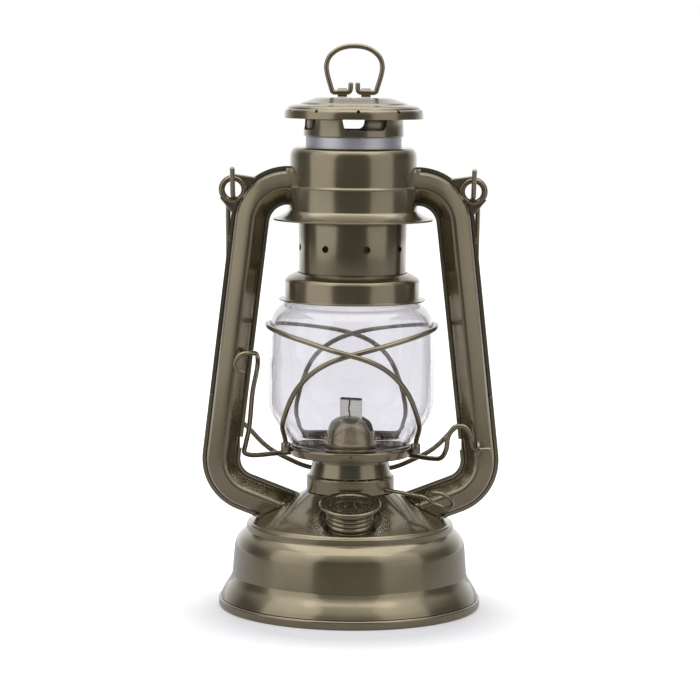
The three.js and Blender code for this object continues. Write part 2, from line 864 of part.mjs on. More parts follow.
// GUARD: one wire from ear to ear, over the globe's two sides and along the back of the plate.
const guardFrontShares = [
  [0, 0], [0.006, 0.012], [0.071, 0.1], [0.161, 0.24], [0.204, 0.4], [0.241, 0.517], [0.296, 0.632],
  [0.361, 0.725], [0.428, 0.787], [0.497, 0.827], [0.568, 0.865], [0.672, 0.917], [0.811, 0.968], [1, 1],
];
const guardBackShares = [
  [0.146, 0.012], [0.361, 0.058], [0.487, 0.095], [0.573, 0.13], [0.658, 0.178], [0.739, 0.252],
  [0.794, 0.328], [0.836, 0.428], [0.869, 0.548], [0.893, 0.672], [0.94, 0.816], [0.975, 0.9],
  [0.987, 0.95], [0.984, 0.985], [0.965, 1], [0.92, 1],
];
const guardRunShares = [0.2, 0.4, 0.6, 0.8];
const crossNear = 9 * degree;
const crossFar = 27 * degree;
const guardReach = guardClear + wireRadius;
const guardFoot = guardEarTop + wireRadius;
const guardStep = 12 * degree;

// A point of the guard by its turn from the left, through the front, and by its height.
function onGuard(turn, height, lift = 0) {
  const reach = height > guardBackHeight + wireRadius ? globeRadiusAt(height) + guardReach : guardBackRadius;
  const radius = Math.max(reach, guardBackRadius) + lift;
  return point(-radius * Math.cos(turn), -radius * Math.sin(turn), height);
}

// How far the second side stands off where it crosses the first, at the front and at the back.
function crossLift(turn) {
  const away = Math.min(Math.abs(turn - Math.PI / 2), Math.abs(turn - 1.5 * Math.PI));
  const share = THREE.MathUtils.smoothstep(crossFar - away, 0, crossFar - crossNear);
  return guardCrossLift * share;
}

// Stations with others between them wherever the turn from one to the next is a long one.
function subdivided(stations, most) {
  return stations.flatMap(([turn, height], i) => {
    const [lastTurn, lastHeight] = stations[Math.max(i - 1, 0)];
    const parts = Math.max(1, Math.ceil(Math.abs(turn - lastTurn) / most));
    return Array.from({ length: parts }, (_, k) => [
      mix(lastTurn, turn, (k + 1) / parts),
      mix(lastHeight, height, (k + 1) / parts),
    ]);
  });
}

function guardSide(lifted) {
  const stations = [];
  for (const [across, up] of guardFrontShares.slice(1)) {
    stations.push([mix(guardEarAngle, Math.PI, across), mix(guardFoot, guardTip, up)]);
  }
  for (const [across, down] of guardBackShares) {
    stations.push([mix(Math.PI, guardBackEnd, across), mix(guardTip, guardBackHeight, down)]);
  }
  const liftAt = (turn) => (lifted ? crossLift(turn) : 0);
  return subdivided(stations, guardStep).map(([turn, height]) => onGuard(turn, height, liftAt(turn)));
}

const guardEarX = -guardEarReach * Math.cos(guardEarAngle);
const guardEarY = -guardEarReach * Math.sin(guardEarAngle);
const guardEar = [point(guardEarX, guardEarY, plateFloorTop), point(guardEarX, guardEarY, guardEarTop)];
const guardRun = guardRunShares.map((share) =>
  onGuard(mix(guardRunFrom, guardRunTo, share), guardBackHeight),
);
const guardRoute = [
  ...guardEar,
  ...guardSide(false),
  ...guardRun,
  ...mirroredX(guardSide(true)),
  ...mirroredX(guardEar),
];
place("guard_wire", wire(guardRoute), paint);

// COLLAR AND CHIMNEY
const collarShares = [[0.1, 0.3], [0.45, 0.66], [0.8, 0.92]];
const collarFoot = at(collarRadius, collarWallTop);
const collarHead = at(chimneyRadius + slideGap, collarTop);
place(
  "globe_collar",
  turned(
    thicken(
      [
        at(collarFlangeRadius, collarLow + sheet),
        at(collarRadius, collarLow + sheet),
        collarFoot,
        ...eased(collarFoot, collarHead, collarShares),
        collarHead,
      ],
      sheet,
    ),
    largeSides,
  ),
  paint,
);

let chimney = asSolid(washer(chimneyRadius - sheet, chimneyRadius, chimneyLow, chimneyTop, largeSides));
for (let i = 0; i < chimneyHoles; i++) {
  const turn = (chimneyHoleTurn - 90) * degree + (i / chimneyHoles) * 2 * Math.PI;
  const hole = spoke(chimneyHoleRadius, 0, chimneyRadius + cutOverrun, chimneyHoleHeight, turn, holeSides);
  chimney = chimney.subtract(asSolid(hole));
}
place("chimney_tube", chimney, paint);

const seatLow = chimneyTop + seatGap;
const seatHigh = seatLow + sheet;
place(
  "spring_seat",
  washer(sleeveRadius + seatGap, chimneyRadius + sheet, seatLow, seatHigh, middleSides),
  steel,
);

// AIR DRUM AND SPRING
const airFlareShares = [[0.3, 0.14], [0.62, 0.42], [0.86, 0.72]];
const airShoulderShare = 0.7;
const airShoulderShares = [[0.02, 0.3], [0.09, 0.58], [0.25, 0.82], [0.5, 0.96]];
const airRim = at(airFlangeRadius, airLow + sheet);
const airNeck = at(airRadius, airLow + sheet + airFlare);
const airHead = at(airRadius - airRib, mix(airRibHeight, airTop, airShoulderShare));
const airShoulder = at(mix(airRadius, sleeveRadius, airShoulderShare), airTop);
const airOutline = [
  airRim,
  ...eased(airRim, airNeck, airFlareShares),
  airNeck,
  at(airRadius, airRibHeight - airRib),
  at(airRadius - airRib, airRibHeight),
  airHead,
  ...eased(airHead, airShoulder, airShoulderShares),
  airShoulder,
  at(sleeveRadius + slideGap, airTop),
];
const airFloorTop = airFloorHeight + sheet;
const airFloorReach = airRadius - sheet / 2;
const airFloor = washer(chimneyRadius + slideGap, airFloorReach, airFloorHeight, airFloorTop, largeSides);
const duct = box(
  point(-airRadius - cutOverrun, -airDuctWidth / 2, tubeTopHeight - airDuctHeight / 2),
  point(airRadius + cutOverrun, airDuctWidth / 2, tubeTopHeight + airDuctHeight / 2),
);
place(
  "air_drum",
  asSolid(turned(thicken(airOutline, sheet), largeSides)).subtract(asSolid(duct)).add(asSolid(airFloor)),
  paint,
);

const springLow = seatLow + sheet + seatGap + springWire;
const springHigh = airTop - sheet - seatGap - springWire;
const springSteps = springCoils * springStepsPerCoil;
const springRoute = Array.from({ length: springSteps + 1 }, (_, i) => {
  const turn = (i / springStepsPerCoil) * 2 * Math.PI;
  const height = mix(springLow, springHigh, i / springSteps);
  return point(springRadius * Math.cos(turn), springRadius * Math.sin(turn), height);
});
place("hood_spring", wire(springRoute, springWire, springSides), steel);
const springPitch = (springHigh - springLow) / springCoils;
console.log("least gap between curls of hood_spring, mm:", (springPitch - 2 * springWire).toFixed(2));

// HOOD: a bare sleeve through the drum's roof, a windowed ring and a crown
place("hood_sleeve", washer(sleeveRadius - sheet, sleeveRadius, sleeveLow, sleeveTop, largeSides), steel);

const windowBend = at(ringBandRadius, windowHigh);
const ringFlange = at(crownFlangeRadius, crownLow);
const ringFlareShares = [[0.7, 0.15], [0.92, 0.5]];
const hoodRing = asSolid(
  turned(
    thicken(
      [
        ringFlange,
        ...eased(ringFlange, windowBend, ringFlareShares),
        windowBend,
        at(ringBandRadius, ringBandLow),
      ],
      -sheet,
    ),
    largeSides,
  ),
);
const windowHalfWidth = ringBandRadius * Math.sin(windowHalf * degree);
const windowOutline = new THREE.Shape();
windowOutline.moveTo(-windowHalfWidth, windowHeight);
windowOutline.lineTo(-windowHalfWidth, windowRound);
windowOutline.quadraticCurveTo(-windowHalfWidth, 0, windowRound - windowHalfWidth, 0);
windowOutline.lineTo(windowHalfWidth - windowRound, 0);
windowOutline.quadraticCurveTo(windowHalfWidth, 0, windowHalfWidth, windowRound);
windowOutline.lineTo(windowHalfWidth, windowHeight);
const windowDepth = ringBandRadius + cutOverrun;
const windowSettings = { depth: windowDepth, bevelEnabled: false, curveSegments: windowRoundSteps };
let openRing = hoodRing;
for (let i = 0; i < windowCount; i++) {
  const cutter = new THREE.ExtrudeGeometry(windowOutline, windowSettings).rotateX(Math.PI / 2);
  cutter.translate(0, 0, windowLow).rotateZ(windowTurn * degree + (i / windowCount) * 2 * Math.PI);
  openRing = openRing.subtract(asSolid(cutter));
}
place("hood_ring", openRing, paint);

const crownShares = [[0.06, 0.35], [0.3, 0.75], [0.75, 0.97]];
const crownTopShares = [[0.3, 0.35], [0.75, 0.9]];
const crownRim = at(crownRadius, crownLow);
const crownEdge = at(crownEdgeRadius, crownEdgeHeight - sheet);
const crownStep = at(crownStepRadius, crownStepHeight - sheet);
const crownFlat = at(crownTopRadius, crownTop);
const crownOutline = [
  crownRim,
  crownEdge,
  ...eased(crownEdge, crownStep, crownShares),
  crownStep,
  at(crownStepRadius - sheet, crownStepHeight),
  ...eased(at(crownStepRadius - sheet, crownStepHeight), crownFlat, crownTopShares),
  crownFlat,
  at(0, crownTop),
];
let crown = asSolid(turned(thicken(crownOutline, sheet), largeSides));
const crownHoleReach = crownRadius + cutOverrun;
for (let i = 0; i < crownHoles; i++) {
  const turn = (crownHoleTurn - 90) * degree + (i / crownHoles) * 2 * Math.PI;
  const drill = spoke(crownHoleRadius, crownStepRadius, crownHoleReach, crownHoleHeight, turn, holeSides);
  crown = crown.subtract(asSolid(drill));
}
place("hood_crown", crown, paint);

// PULL RING
const clipBore = wireRadius + seatGap;
const clipOuter = clipBore + clipWall;
const pivotHeight = crownTop + seatGap + clipOuter;
for (const [name, side] of [["ring_clip_left", -1], ["ring_clip_right", 1]]) {
  const near = side < 0 ? -clipInner - clipLength : clipInner;
  const barrel = spoke(clipOuter, near, near + clipLength, pivotHeight, 0, smallSides);
  const bore = spoke(clipBore, near - cutOverrun, near + clipLength + cutOverrun, pivotHeight, 0, smallSides);
  const foot = box(
    point(near, -clipFootWidth / 2, crownTop + seatGap),
    point(near + clipLength, clipFootWidth / 2, crownTop + seatGap + clipWall),
  );
  place(name, asSolid(barrel).add(asSolid(foot)).subtract(asSolid(bore)), paint);
}

const ringShares = [
  [0.35, 0.09], [0.66, 0.26], [0.91, 0.42], [1, 0.57], [0.84, 0.76], [0.12, 0.92], [-1.35, 0.985],
];
const ringBend = 1.5 * wireRadius;
const ringCorners = [
  point(ringEndX, 0, pivotHeight + ringEndRise),
  point(ringEndX, 0, pivotHeight),
  point(ringLegFoot, 0, pivotHeight),
  point(mix(ringLegFoot, ringHalfWidth, ringShares[0][0]), 0, pivotHeight + ringBend),
];
const ringTopHeight = pivotHeight + ringHeight - wireRadius;
const ringHalf = [
  ...rounded(ringCorners, [ringBend, ringBend], wireBendSteps).slice(0, -1),
  ...ringShares.map(([across, up]) =>
    point(mix(ringLegFoot, ringHalfWidth, across), 0, mix(pivotHeight, ringTopHeight, up)),
  ),
];
place(
  "hood_ring_pull",
  wire([...ringHalf, point(0, 0, ringTopHeight), ...mirroredX(ringHalf)]),
  paint,
);

// SIDE TUBES
const tubeHalfWidth = tubeWidth / 2;
const tubeBodyHalf = tubeHalfWidth - tubeFlange;
const flangeHeight = seatGap / 2 + tubeSheet;
const tubeShares = [
  [-1, 0], [-0.93, 0.52], [-0.76, 0.84], [-0.45, 0.95], [0.1, 1], [0.32, 0.9], [0.9, 0.3], [1, 0],
];
const tubeSurface = [
  at(-tubeHalfWidth, flangeHeight),
  ...tubeShares.map(([across, out]) => at(across * tubeBodyHalf, mix(flangeHeight, tubeDepth, out))),
  at(tubeHalfWidth, flangeHeight),
];
const tubeSection = thicken(tubeSurface, -tubeSheet).map((corner) => at(corner.x, -corner.y));

const runEnd = point(
  tubeElbowX - tubeRunLength * Math.cos(tubeRunDrop),
  0,
  tubeElbowHeight - tubeRunLength * Math.sin(tubeRunDrop),
);
const tubeRoute = rounded(
  [
    point(airRadius - cutOverrun, 0, tubeTopHeight),
    point(tubeShoulderX, 0, tubeTopHeight),
    point(tubeElbowX, 0, tubeElbowHeight),
    runEnd,
  ],
  [tubeShoulderRadius, tubeElbowRadius],
  tubeArcSteps,
);
const tubeLine = tubeRoute.map((station) => at(station.x, station.z));
const flangeLine = offset(tubeLine, tubeHalfWidth - tubeFlange / 2);
const earLine = flangeLine.slice(1, tubeArcSteps + 2);

// A flat outline in the seam's plane, as a plate of the front half.
function seamPlate(outline) {
  const settings = { depth: tubeSheet, bevelEnabled: false };
  const plateForm = new THREE.ExtrudeGeometry(new THREE.Shape(outline), settings).rotateX(Math.PI / 2);
  return asSolid(plateForm.translate(0, -seatGap / 2, 0));
}

const earShareFrom = -0.09;
const earShareTo = 0.24;
const earSteps = 9;
const earCentre = at(earX, earHeight);
const earRound = Array.from({ length: earSteps + 1 }, (_, i) => {
  const turn = mix(earShareFrom, earShareTo, i / earSteps) * 2 * Math.PI;
  return at(earX + earRadius * Math.cos(turn), earHeight + earRadius * Math.sin(turn));
});
const earWebShare = 0.97;
const earWebEnd = flangeLine[tubeArcSteps + 2].clone().lerp(earLine[tubeArcSteps], earWebShare);
const earWeb = [...earLine.slice(1), earWebEnd, ...earRound];
const earBoreTool = asSolid(
  bar(earHole, -tubeDepth, tubeDepth, smallSides).rotateX(Math.PI / 2).translate(earCentre.x, 0, earCentre.y),
);
const drumClear = asSolid(bar(airRadius + seatGap, airLow - cutOverrun, airTop + cutOverrun, largeSides));
const tankClear = filledTank(offset(tankOutline, -seatGap), skirt.y);
const notch = asSolid(
  box(
    point(0, -tubeDepth - cutOverrun, tubeNotchLow),
    point(tubeNotchX(), tubeDepth + cutOverrun, tubeNotchHigh),
  ),
);

function tubeLegX(height) {
  return mix(tubeShoulderX, tubeElbowX, (tubeTopHeight - height) / (tubeTopHeight - tubeElbowHeight));
}

function tubeNotchX() {
  return tubeLegX(tubeNotchLow) - tubeHalfWidth + tubeNotchDepth;
}

// A straight bar through the drum's wall: the tube's half section, grown all round, down to the seam.
function mouthBar(growth, seam) {
  const half = tubeBodyHalf + growth;
  const crest = tubeShares.map(([across, out]) =>
    at(across * half, -mix(flangeHeight, tubeDepth + growth, out)),
  );
  const route = [-cutOverrun, cutOverrun].map((way) => point(airRadius + way, 0, tubeTopHeight));
  return asSolid(swept([at(-half, -seam), ...crest, at(half, -seam)], route));
}

// Flange that each half turns out against the drum
const mouthBand = asSolid(bar(airRadius + seatGap + tubeSheet, airLow, airTop, largeSides))
  .intersect(mouthBar(tubeMouthFlange, seatGap / 2))
  .subtract(mouthBar(-tubeSheet, -tubeSheet));

const tubeFrontRight = swept(tubeSection, tubeRoute);
const tubeHalf = asSolid(tubeFrontRight)
  .add(mouthBand)
  .add(seamPlate(earWeb))
  .subtract(earBoreTool)
  .subtract(drumClear)
  .subtract(tankClear)
  .subtract(notch);
const tubeGeometry = asGeometry(tubeHalf);
for (const [name, across, along] of [
  ["frame_tube_right_front", 1, 1],
  ["frame_tube_left_front", -1, 1],
  ["frame_tube_right_rear", 1, -1],
  ["frame_tube_left_rear", -1, -1],
]) {
  place(name, tubeGeometry, paint).scale.set(across, along, 1);
}

// BAIL: each end turns in the eye of a hook that hangs in the ear's hole
const hookEye = clipBore + wireRadius;
const hookHeight = earHeight - earHole + seatGap + wireRadius;
const bailAxisY = flangeHeight + seatGap + wireRadius + hookEye;
const bailAxisHeight = hookHeight - hookEye;
const hookEyeSteps = 12;
const hookEyeShare = 0.86;
const hookBend = 1.3 * wireRadius;
const hookFront = -flangeHeight - hookBend - wireRadius;
const hookStart = rounded(
  [
    point(earX, hookFront - hookTip * Math.sin(hookLean), hookHeight + hookTip * Math.cos(hookLean)),
    point(earX, hookFront, hookHeight),
    point(earX, bailAxisY, hookHeight),
  ],
  [hookBend],
  hookBendSteps,
);
const hookEyeRoute = Array.from({ length: hookEyeSteps }, (_, i) => {
  const turn = ((i + 1) / hookEyeSteps) * hookEyeShare * 2 * Math.PI;
  return point(earX, bailAxisY + hookEye * Math.sin(turn), bailAxisHeight + hookEye * Math.cos(turn));
});
const hookRoute = [...hookStart, ...hookEyeRoute];
place("bail_hook_right", wire(hookRoute), paint);
place("bail_hook_left", wire(mirroredX(hookRoute)), paint);

const bailShares = [
  [0, 0.3], [0, 0.55], [0.035, 0.8], [0.14, 0.835], [0.31, 0.915], [0.5, 0.963], [0.67, 0.993], [1, 1],
];
const bailBend = 1.2 * wireRadius;
const bailEnd = rounded(
  [
    point(earX - hookEye + seatGap, 0, 0),
    point(bailHalfWidth, 0, 0),
    point(bailHalfWidth, 0, mix(0, -bailDrop, bailShares[0][1] / 2)),
  ],
  [bailBend],
  wireBendSteps,
);
const bailHalf = [
  ...bailEnd,
  ...bailShares.map(([across, down]) => point(mix(bailHalfWidth, 0, across), 0, mix(0, -bailDrop, down))),
];
const bailForm = wire([...bailHalf, ...mirroredX(bailHalf).slice(1)]);
place("bail", bailForm.rotateX(bailLean).translate(0, bailAxisY, bailAxisHeight), paint);

// LIFTING LEVER: under the plate from the lug to the thumb curl
const frontFace = -tubeDepth - seatGap;
const lugFace = frontFace - leverAxisY;
const lugLow = lugX - lugThickness / 2;
const lugHigh = lugX + lugThickness / 2;
const lugHalf = lugRadius - sheet;
const lugWeb = box(point(lugLow, 0, -lugHalf), point(lugHigh, lugFace, lugHalf));
const lugFootFar = lugX + lugFootWidth / 2;
const lugFoot = box(point(lugLow, lugFace - sheet, -lugHalf), point(lugFootFar, lugFace, lugHalf));
const beyondFace = box(
  point(0, lugFace, -lugRadius),
  point(lugX + cutOverrun, lugFace + lugRadius, lugRadius),
);
const lugPlate = asSolid(spoke(lugRadius, lugLow, lugHigh, 0, 0, smallSides))
  .subtract(asSolid(beyondFace))
  .add(asSolid(lugWeb))
  .add(asSolid(lugFoot))
  .subtract(asSolid(spoke(clipBore, lugX - cutOverrun, lugX + cutOverrun, 0, 0, smallSides)))
  .translate(0, leverAxisY, leverAxisHeight);
place("lever_lug", lugPlate, paint);

const crankHeight = plateRimLow - seatGap - wireRadius;

// Points between two corners of a route, by the share of the way along each axis.
function between(from, to, shares) {
  return shares.map(([x, y, z]) => point(mix(from.x, to.x, x), mix(from.y, to.y, y), mix(from.z, to.z, z)));
}

const leverTail = point(leverTailX, leverAxisY, leverAxisHeight);
const archFoot = point(leverArchX, leverAxisY, leverAxisHeight);
const archTop = point((leverArchX + leverArchInnerX) / 2, leverAxisY, leverArchHeight);
const archInner = point(leverArchInnerX, leverAxisY, leverAxisHeight);
const archInnerHead = point(leverArchInnerX, leverAxisY, leverArchHeight);
const crankRight = point(leverCrankX, leverCrankY, crankHeight);
const crankLeft = point(-leverCrankX, leverCrankY, crankHeight);
const leverCorner = point(-leverCornerX, leverCornerY, crankHeight);
const leverRise = point(-leverRiseX, 0, leverRiseHeight);
const leverCurl = point(-leverCurlX, leverCurlY, leverCurlHeight);
const leverTip = point(-leverCurlTipX, leverCurlY, leverCurlTipHeight);
const tailShares = [[0.9, 0, 0]];
const archOuterShares = [[0, 0, 0.12], [0.15, 0, 0.55], [0.55, 0, 0.92], [1, 0, 1]];
const archInnerShares = [[0.5, 0, 0.1], [0.9, 0, 0.5]];
const swoopShares = [[0, 0.03, 0.65], [0.08, 0.12, 0.92], [0.25, 0.32, 1], [0.55, 0.6, 1], [0.88, 0.92, 1]];
const crankShares = [[0.06, 0, 0], [0.94, 0, 0]];
const leftArmShares = [[0.12, 0.08, 0], [0.5, 0.48, 0], [0.92, 0.92, 0]];
const riseShares = [
  [0, 0, 0.035], [0.088, 0.05, 0.118], [0.363, 0.25, 0.306], [0.647, 0.9, 0.729], [1, 1, 1],
];
const curlShares = [[-0.038, 0.3, 0.667], [0.152, 0.75, 1], [1, 1, 1]];
const tipShares = [[0.8, 0, 0.4], [1, 0, 1]];
const leverRoute = [
  leverTail,
  ...between(leverTail, archFoot, tailShares),
  ...between(archFoot, archTop, archOuterShares),
  ...between(archTop, archInner, archInnerShares),
  ...between(archInnerHead, crankRight, swoopShares),
  ...between(crankRight, crankLeft, crankShares),
  ...between(crankLeft, leverCorner, leftArmShares),
  ...between(leverCorner, leverRise, riseShares),
  ...between(leverRise, leverCurl, curlShares),
  ...between(leverCurl, leverTip, tipShares),
];
place("lift_lever", wire(leverRoute), paint);

export default lantern;
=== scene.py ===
"""A small tubular oil lantern in lacquered steel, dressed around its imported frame.

Lengths are metres and the axes are the frame's own: +Z up, -Y towards the filler cap.
"""

import math
from contextlib import contextmanager

import bpy
from bpy.props import FloatProperty, FloatVectorProperty, IntProperty, PointerProperty
from mathutils import Euler, Matrix, Vector


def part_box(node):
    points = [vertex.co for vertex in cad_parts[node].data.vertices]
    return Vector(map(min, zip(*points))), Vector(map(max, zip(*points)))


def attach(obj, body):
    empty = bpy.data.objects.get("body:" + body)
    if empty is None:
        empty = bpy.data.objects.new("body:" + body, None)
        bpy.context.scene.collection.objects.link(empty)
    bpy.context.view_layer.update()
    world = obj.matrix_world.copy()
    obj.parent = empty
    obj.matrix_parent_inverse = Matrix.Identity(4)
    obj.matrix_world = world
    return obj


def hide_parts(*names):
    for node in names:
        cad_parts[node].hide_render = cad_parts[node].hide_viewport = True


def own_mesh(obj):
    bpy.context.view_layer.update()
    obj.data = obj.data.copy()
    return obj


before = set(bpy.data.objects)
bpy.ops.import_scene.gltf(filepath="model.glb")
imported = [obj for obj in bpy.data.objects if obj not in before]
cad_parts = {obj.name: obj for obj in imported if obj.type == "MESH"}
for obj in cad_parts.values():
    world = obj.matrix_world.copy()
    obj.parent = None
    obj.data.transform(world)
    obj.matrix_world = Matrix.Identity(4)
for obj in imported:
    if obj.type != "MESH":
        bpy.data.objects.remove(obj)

bl_info = {
    "name": "Oil lantern",
    "version": (1, 0, 0),
    "blender": (4, 5, 0),
    "location": "View3D > Sidebar > Lantern",
    "description": "Builds the visible pieces of a small tubular oil lantern",
    "category": "Add Mesh",
}

MM = 0.001


# Values

def linear(code):
    """Turns an sRGB hex colour into linear red, green and blue."""
    parts = [int(code[i : i + 2], 16) / 255 for i in (0, 2, 4)]
    return tuple(p / 12.92 if p <= 0.04045 else ((p + 0.055) / 1.055) ** 2.4 for p in parts)


def length(name, description, default_mm):
    return FloatProperty(
        name=name, description=description, default=default_mm * MM, unit="LENGTH", precision=5
    )


def colour(name, description, code):
    return FloatVectorProperty(
        name=name, description=description, default=linear(code), subtype="COLOR", min=0, max=1
    )


class LanternSizes(bpy.types.PropertyGroup):
    """Sizes of the lantern's visible pieces."""

    sheet: length("Sheet", "Thickness of the pressed sheet", 0.8)
    wire: length("Wire", "Radius of the bent wires", 1.25)
    foot_radius: length("Foot radius", "Radius of the rolled foot", 65.2)
    wall_radius: length("Wall radius", "Radius of the fount's wall", 58)
    cone_radius: length("Cone radius", "Radius of the step under the cone", 51.6)
    cone_top: length("Cone height", "Height of the cone's upper edge", 57.4)
    globe_radius: length("Globe radius", "Largest radius of the globe", 41.2)
    globe_wall: length("Globe wall", "Thickness of the glass", 1.8)
    drum_radius: length("Air drum radius", "Radius of the air drum", 31.8)
    chimney_radius: length("Chimney radius", "Radius of the pierced chimney", 26.8)
    sleeve_radius: length("Sleeve radius", "Radius of the bare sleeve", 23.6)
    crown_radius: length("Crown radius", "Radius of the hood's rim", 34.3)
    tube_depth: length("Tube depth", "Depth of one pressed half of a side tube", 7.8)
    turns: IntProperty(name="Turned sides", description="Faces round each turned piece", default=128, min=32)


class LanternFinishes(bpy.types.PropertyGroup):
    """Colours and gloss of the lantern's surfaces."""

    lacquer: colour("Lacquer", "Olive-bronze metallic lacquer", "7F745B")
    lacquer_deep: colour("Lacquer in the hollows", "The same lacquer where it lies thick", "756B55")
    bare: colour("Bare steel", "Uncoated bright sheet", "C0BEC6")
    brass: colour("Brass", "Dull brass of the burner", "A98B4C")
    cotton: colour("Cotton", "Unburnt wick", "F7F4EE")
    char: colour("Char", "Burnt edge of the wick", "1C1916")
    glass_tint: colour("Glass", "Clear blown glass", "E2E1E4")
    rubber: colour("Rubber", "Seal of the filler cap", "1E1C1A")
    paper: colour("Paper", "Seamless paper under the lantern", "B5B5B8")
    paper_deep: colour("Paper's fibres", "The same paper between its fibres", "ABABAE")
    gloss: FloatProperty(
        name="Lacquer roughness", description="Roughness of the lacquer", default=0.22, min=0, max=1
    )


def mm(name):
    """One of the lantern's sizes, in millimetres."""
    return getattr(bpy.context.scene.lantern_sizes, name) / MM


# Outlines: lists of (radius, height) or (x, y, z) in millimetres

def mix(a, b, share):
    return a + (b - a) * share


def flowing(points, per=6):
    """A smooth line through the points, with a few stations between each two."""
    found = [Vector(p) for p in points]
    ends = [found[0] * 2 - found[1]] + found + [found[-1] * 2 - found[-2]]
    line = []
    for a, b, c, d in zip(ends, ends[1:], ends[2:], ends[3:]):
        # Centripetal spacing keeps short stretches beside long ones from looping.
        at_b = (b - a).length ** 0.5
        at_c = at_b + (c - b).length ** 0.5
        at_d = at_c + (d - c).length ** 0.5
        for k in range(per):
            t = mix(at_b, at_c, k / per)
            ab, bc = a.lerp(b, t / at_b), b.lerp(c, k / per)
            cd = c.lerp(d, (t - at_c) / (at_d - at_c))
            line.append(ab.lerp(bc, t / at_c).lerp(bc.lerp(cd, (t - at_b) / (at_d - at_b)), k / per))
    return line + [found[-1]]


def softened(points, radius, per=3, closed=True):
    """The same outline with each corner rounded, by less where an edge is short."""
    found = [Vector(p) for p in points]
    count = len(found)
    line = []
    for i, corner in enumerate(found):
        if not closed and i in (0, count - 1):
            line.append(corner)
            continue
        back = found[i - 1] - corner
        on = found[(i + 1) % count] - corner
        reach = min(radius, back.length * 0.45, on.length * 0.45)
        straight = back.length < 1e-9 or on.length < 1e-9 or back.angle(on) > math.radians(172)
        if straight or corner.x < 1e-6 or reach < 1e-4:
            line.append(corner)
            continue
        start, end = corner + back.normalized() * reach, corner + on.normalized() * reach
        for k in range(per + 1):
            t = k / per
            line.append(start * (1 - t) ** 2 + corner * 2 * t * (1 - t) + end * t**2)
    return line


def beside(points, distance):
    """The outline moved to the left of its direction, with mitred corners."""
    found = [Vector(p) for p in points]
    line = []
    for i, corner in enumerate(found):
        back = found[max(i - 1, 0)]
        on = found[min(i + 1, len(found) - 1)]
        arriving = (corner - back if i else on - corner).normalized()
        leaving = (on - corner if i < len(found) - 1 else arriving).normalized()
        side = Vector((-arriving.y - leaving.y, arriving.x + leaving.x)).normalized()
        spread = max(0.4, side.dot(Vector((-arriving.y, arriving.x))))
        moved = corner + side * (distance / spread)
        line.append(Vector((0 if corner.x == 0 else moved.x, moved.y)))
    return line


def walled(points, wall, round_by=0.3):
    """A closed sheet outline with its thickness to the left of the points."""
    return softened([Vector(p) for p in points] + beside(points, wall)[::-1], round_by)


def bent(corners, radii, per=8):
    """A route through corners, each rounded with its own radius."""
    found = [Vector(c) for c in corners]
    line = [found[0]]
    for corner, before, after, radius in zip(found[1:], found, found[2:], radii):
        back, on = (before - corner).normalized(), (after - corner).normalized()
        half = back.angle(on) / 2
        centre = corner + (back + on).normalized() * (radius / math.sin(half))
        start = corner + back * (radius / math.tan(half)) - centre
        end = corner + on * (radius / math.tan(half)) - centre
        sweep = start.angle(end)
        for k in range(per + 1):
            t = k / per
            arm = start * math.sin((1 - t) * sweep) + end * math.sin(t * sweep)
            line.append(centre + arm / math.sin(sweep))
    return line + [found[-1]]


def mirrored(route):
    """The same route on the other side of the lantern, run the other way."""
    return [Vector((-x, y, z)) for x, y, z in reversed(route)]


# Modelling with operators

def clear_selection():
    if bpy.context.object and bpy.context.object.mode != "OBJECT":
        bpy.ops.object.mode_set(mode="OBJECT")
    bpy.ops.object.select_all(action="DESELECT")


def pick(piece):
    """Selects one piece alone and makes it active."""
    clear_selection()
    piece.select_set(True)
    bpy.context.view_layer.objects.active = piece


@contextmanager
def editing(select_by=None, everything=False):
    """Edit mode for the active piece, with one kind of selection or all of it selected."""
    bpy.ops.object.mode_set(mode="EDIT")
    if select_by:
        bpy.ops.mesh.select_mode(type=select_by)
    if everything:
        bpy.ops.mesh.select_all(action="SELECT")
    yield
    bpy.ops.object.mode_set(mode="OBJECT")


def drawn(points, closed=False):
    """A line of edges, drawn by extruding one vertex from point to point (millimetres)."""
    clear_selection()
    stations = [Vector((p[0], 0, p[1])) if len(p) == 2 else Vector(p) for p in points]
    bpy.ops.mesh.primitive_plane_add(size=MM, location=(0, 0, 0))
    line = bpy.context.object
    with editing("VERT"):
        bpy.ops.mesh.merge(type="CENTER")
        bpy.ops.transform.translate(value=stations[0] * MM)
        for before, after in zip(stations, stations[1:]):
            bpy.ops.mesh.extrude_region_move(TRANSFORM_OT_translate={"value": (after - before) * MM})
        bpy.ops.mesh.select_all(action="DESELECT")
    if closed:
        # The two ends are the vertices with a single edge.
        met = [k for edge in line.data.edges for k in edge.vertices]
        for v in line.data.vertices:
            v.select = met.count(v.index) == 1
        with editing():
            bpy.ops.mesh.edge_face_add()
    return line


def apply_place(piece):
    pick(piece)
    bpy.ops.object.transform_apply(location=True, rotation=True, scale=True)


def placed(piece, location, rotation):
    """Turns a piece modelled at the origin and moves it to its place, in millimetres."""
    piece.rotation_euler = Euler(rotation)
    piece.location = Vector(location) * MM
    apply_place(piece)
    return piece


def modify(piece, kind, **settings):
    """Adds a modifier and applies it."""
    pick(piece)
    made = piece.modifiers.new(kind.title(), kind)
    for key, value in settings.items():
        setattr(made, key, value)
    bpy.ops.object.modifier_apply(modifier=made.name)
    return piece


def tidy_mesh(piece, weld=1e-6):
    """Merges doubled vertices and points all faces outwards."""
    pick(piece)
    with editing(everything=True):
        bpy.ops.mesh.remove_doubles(threshold=weld)
        bpy.ops.mesh.dissolve_degenerate(threshold=weld)
        bpy.ops.mesh.normals_make_consistent(inside=False)
    return piece


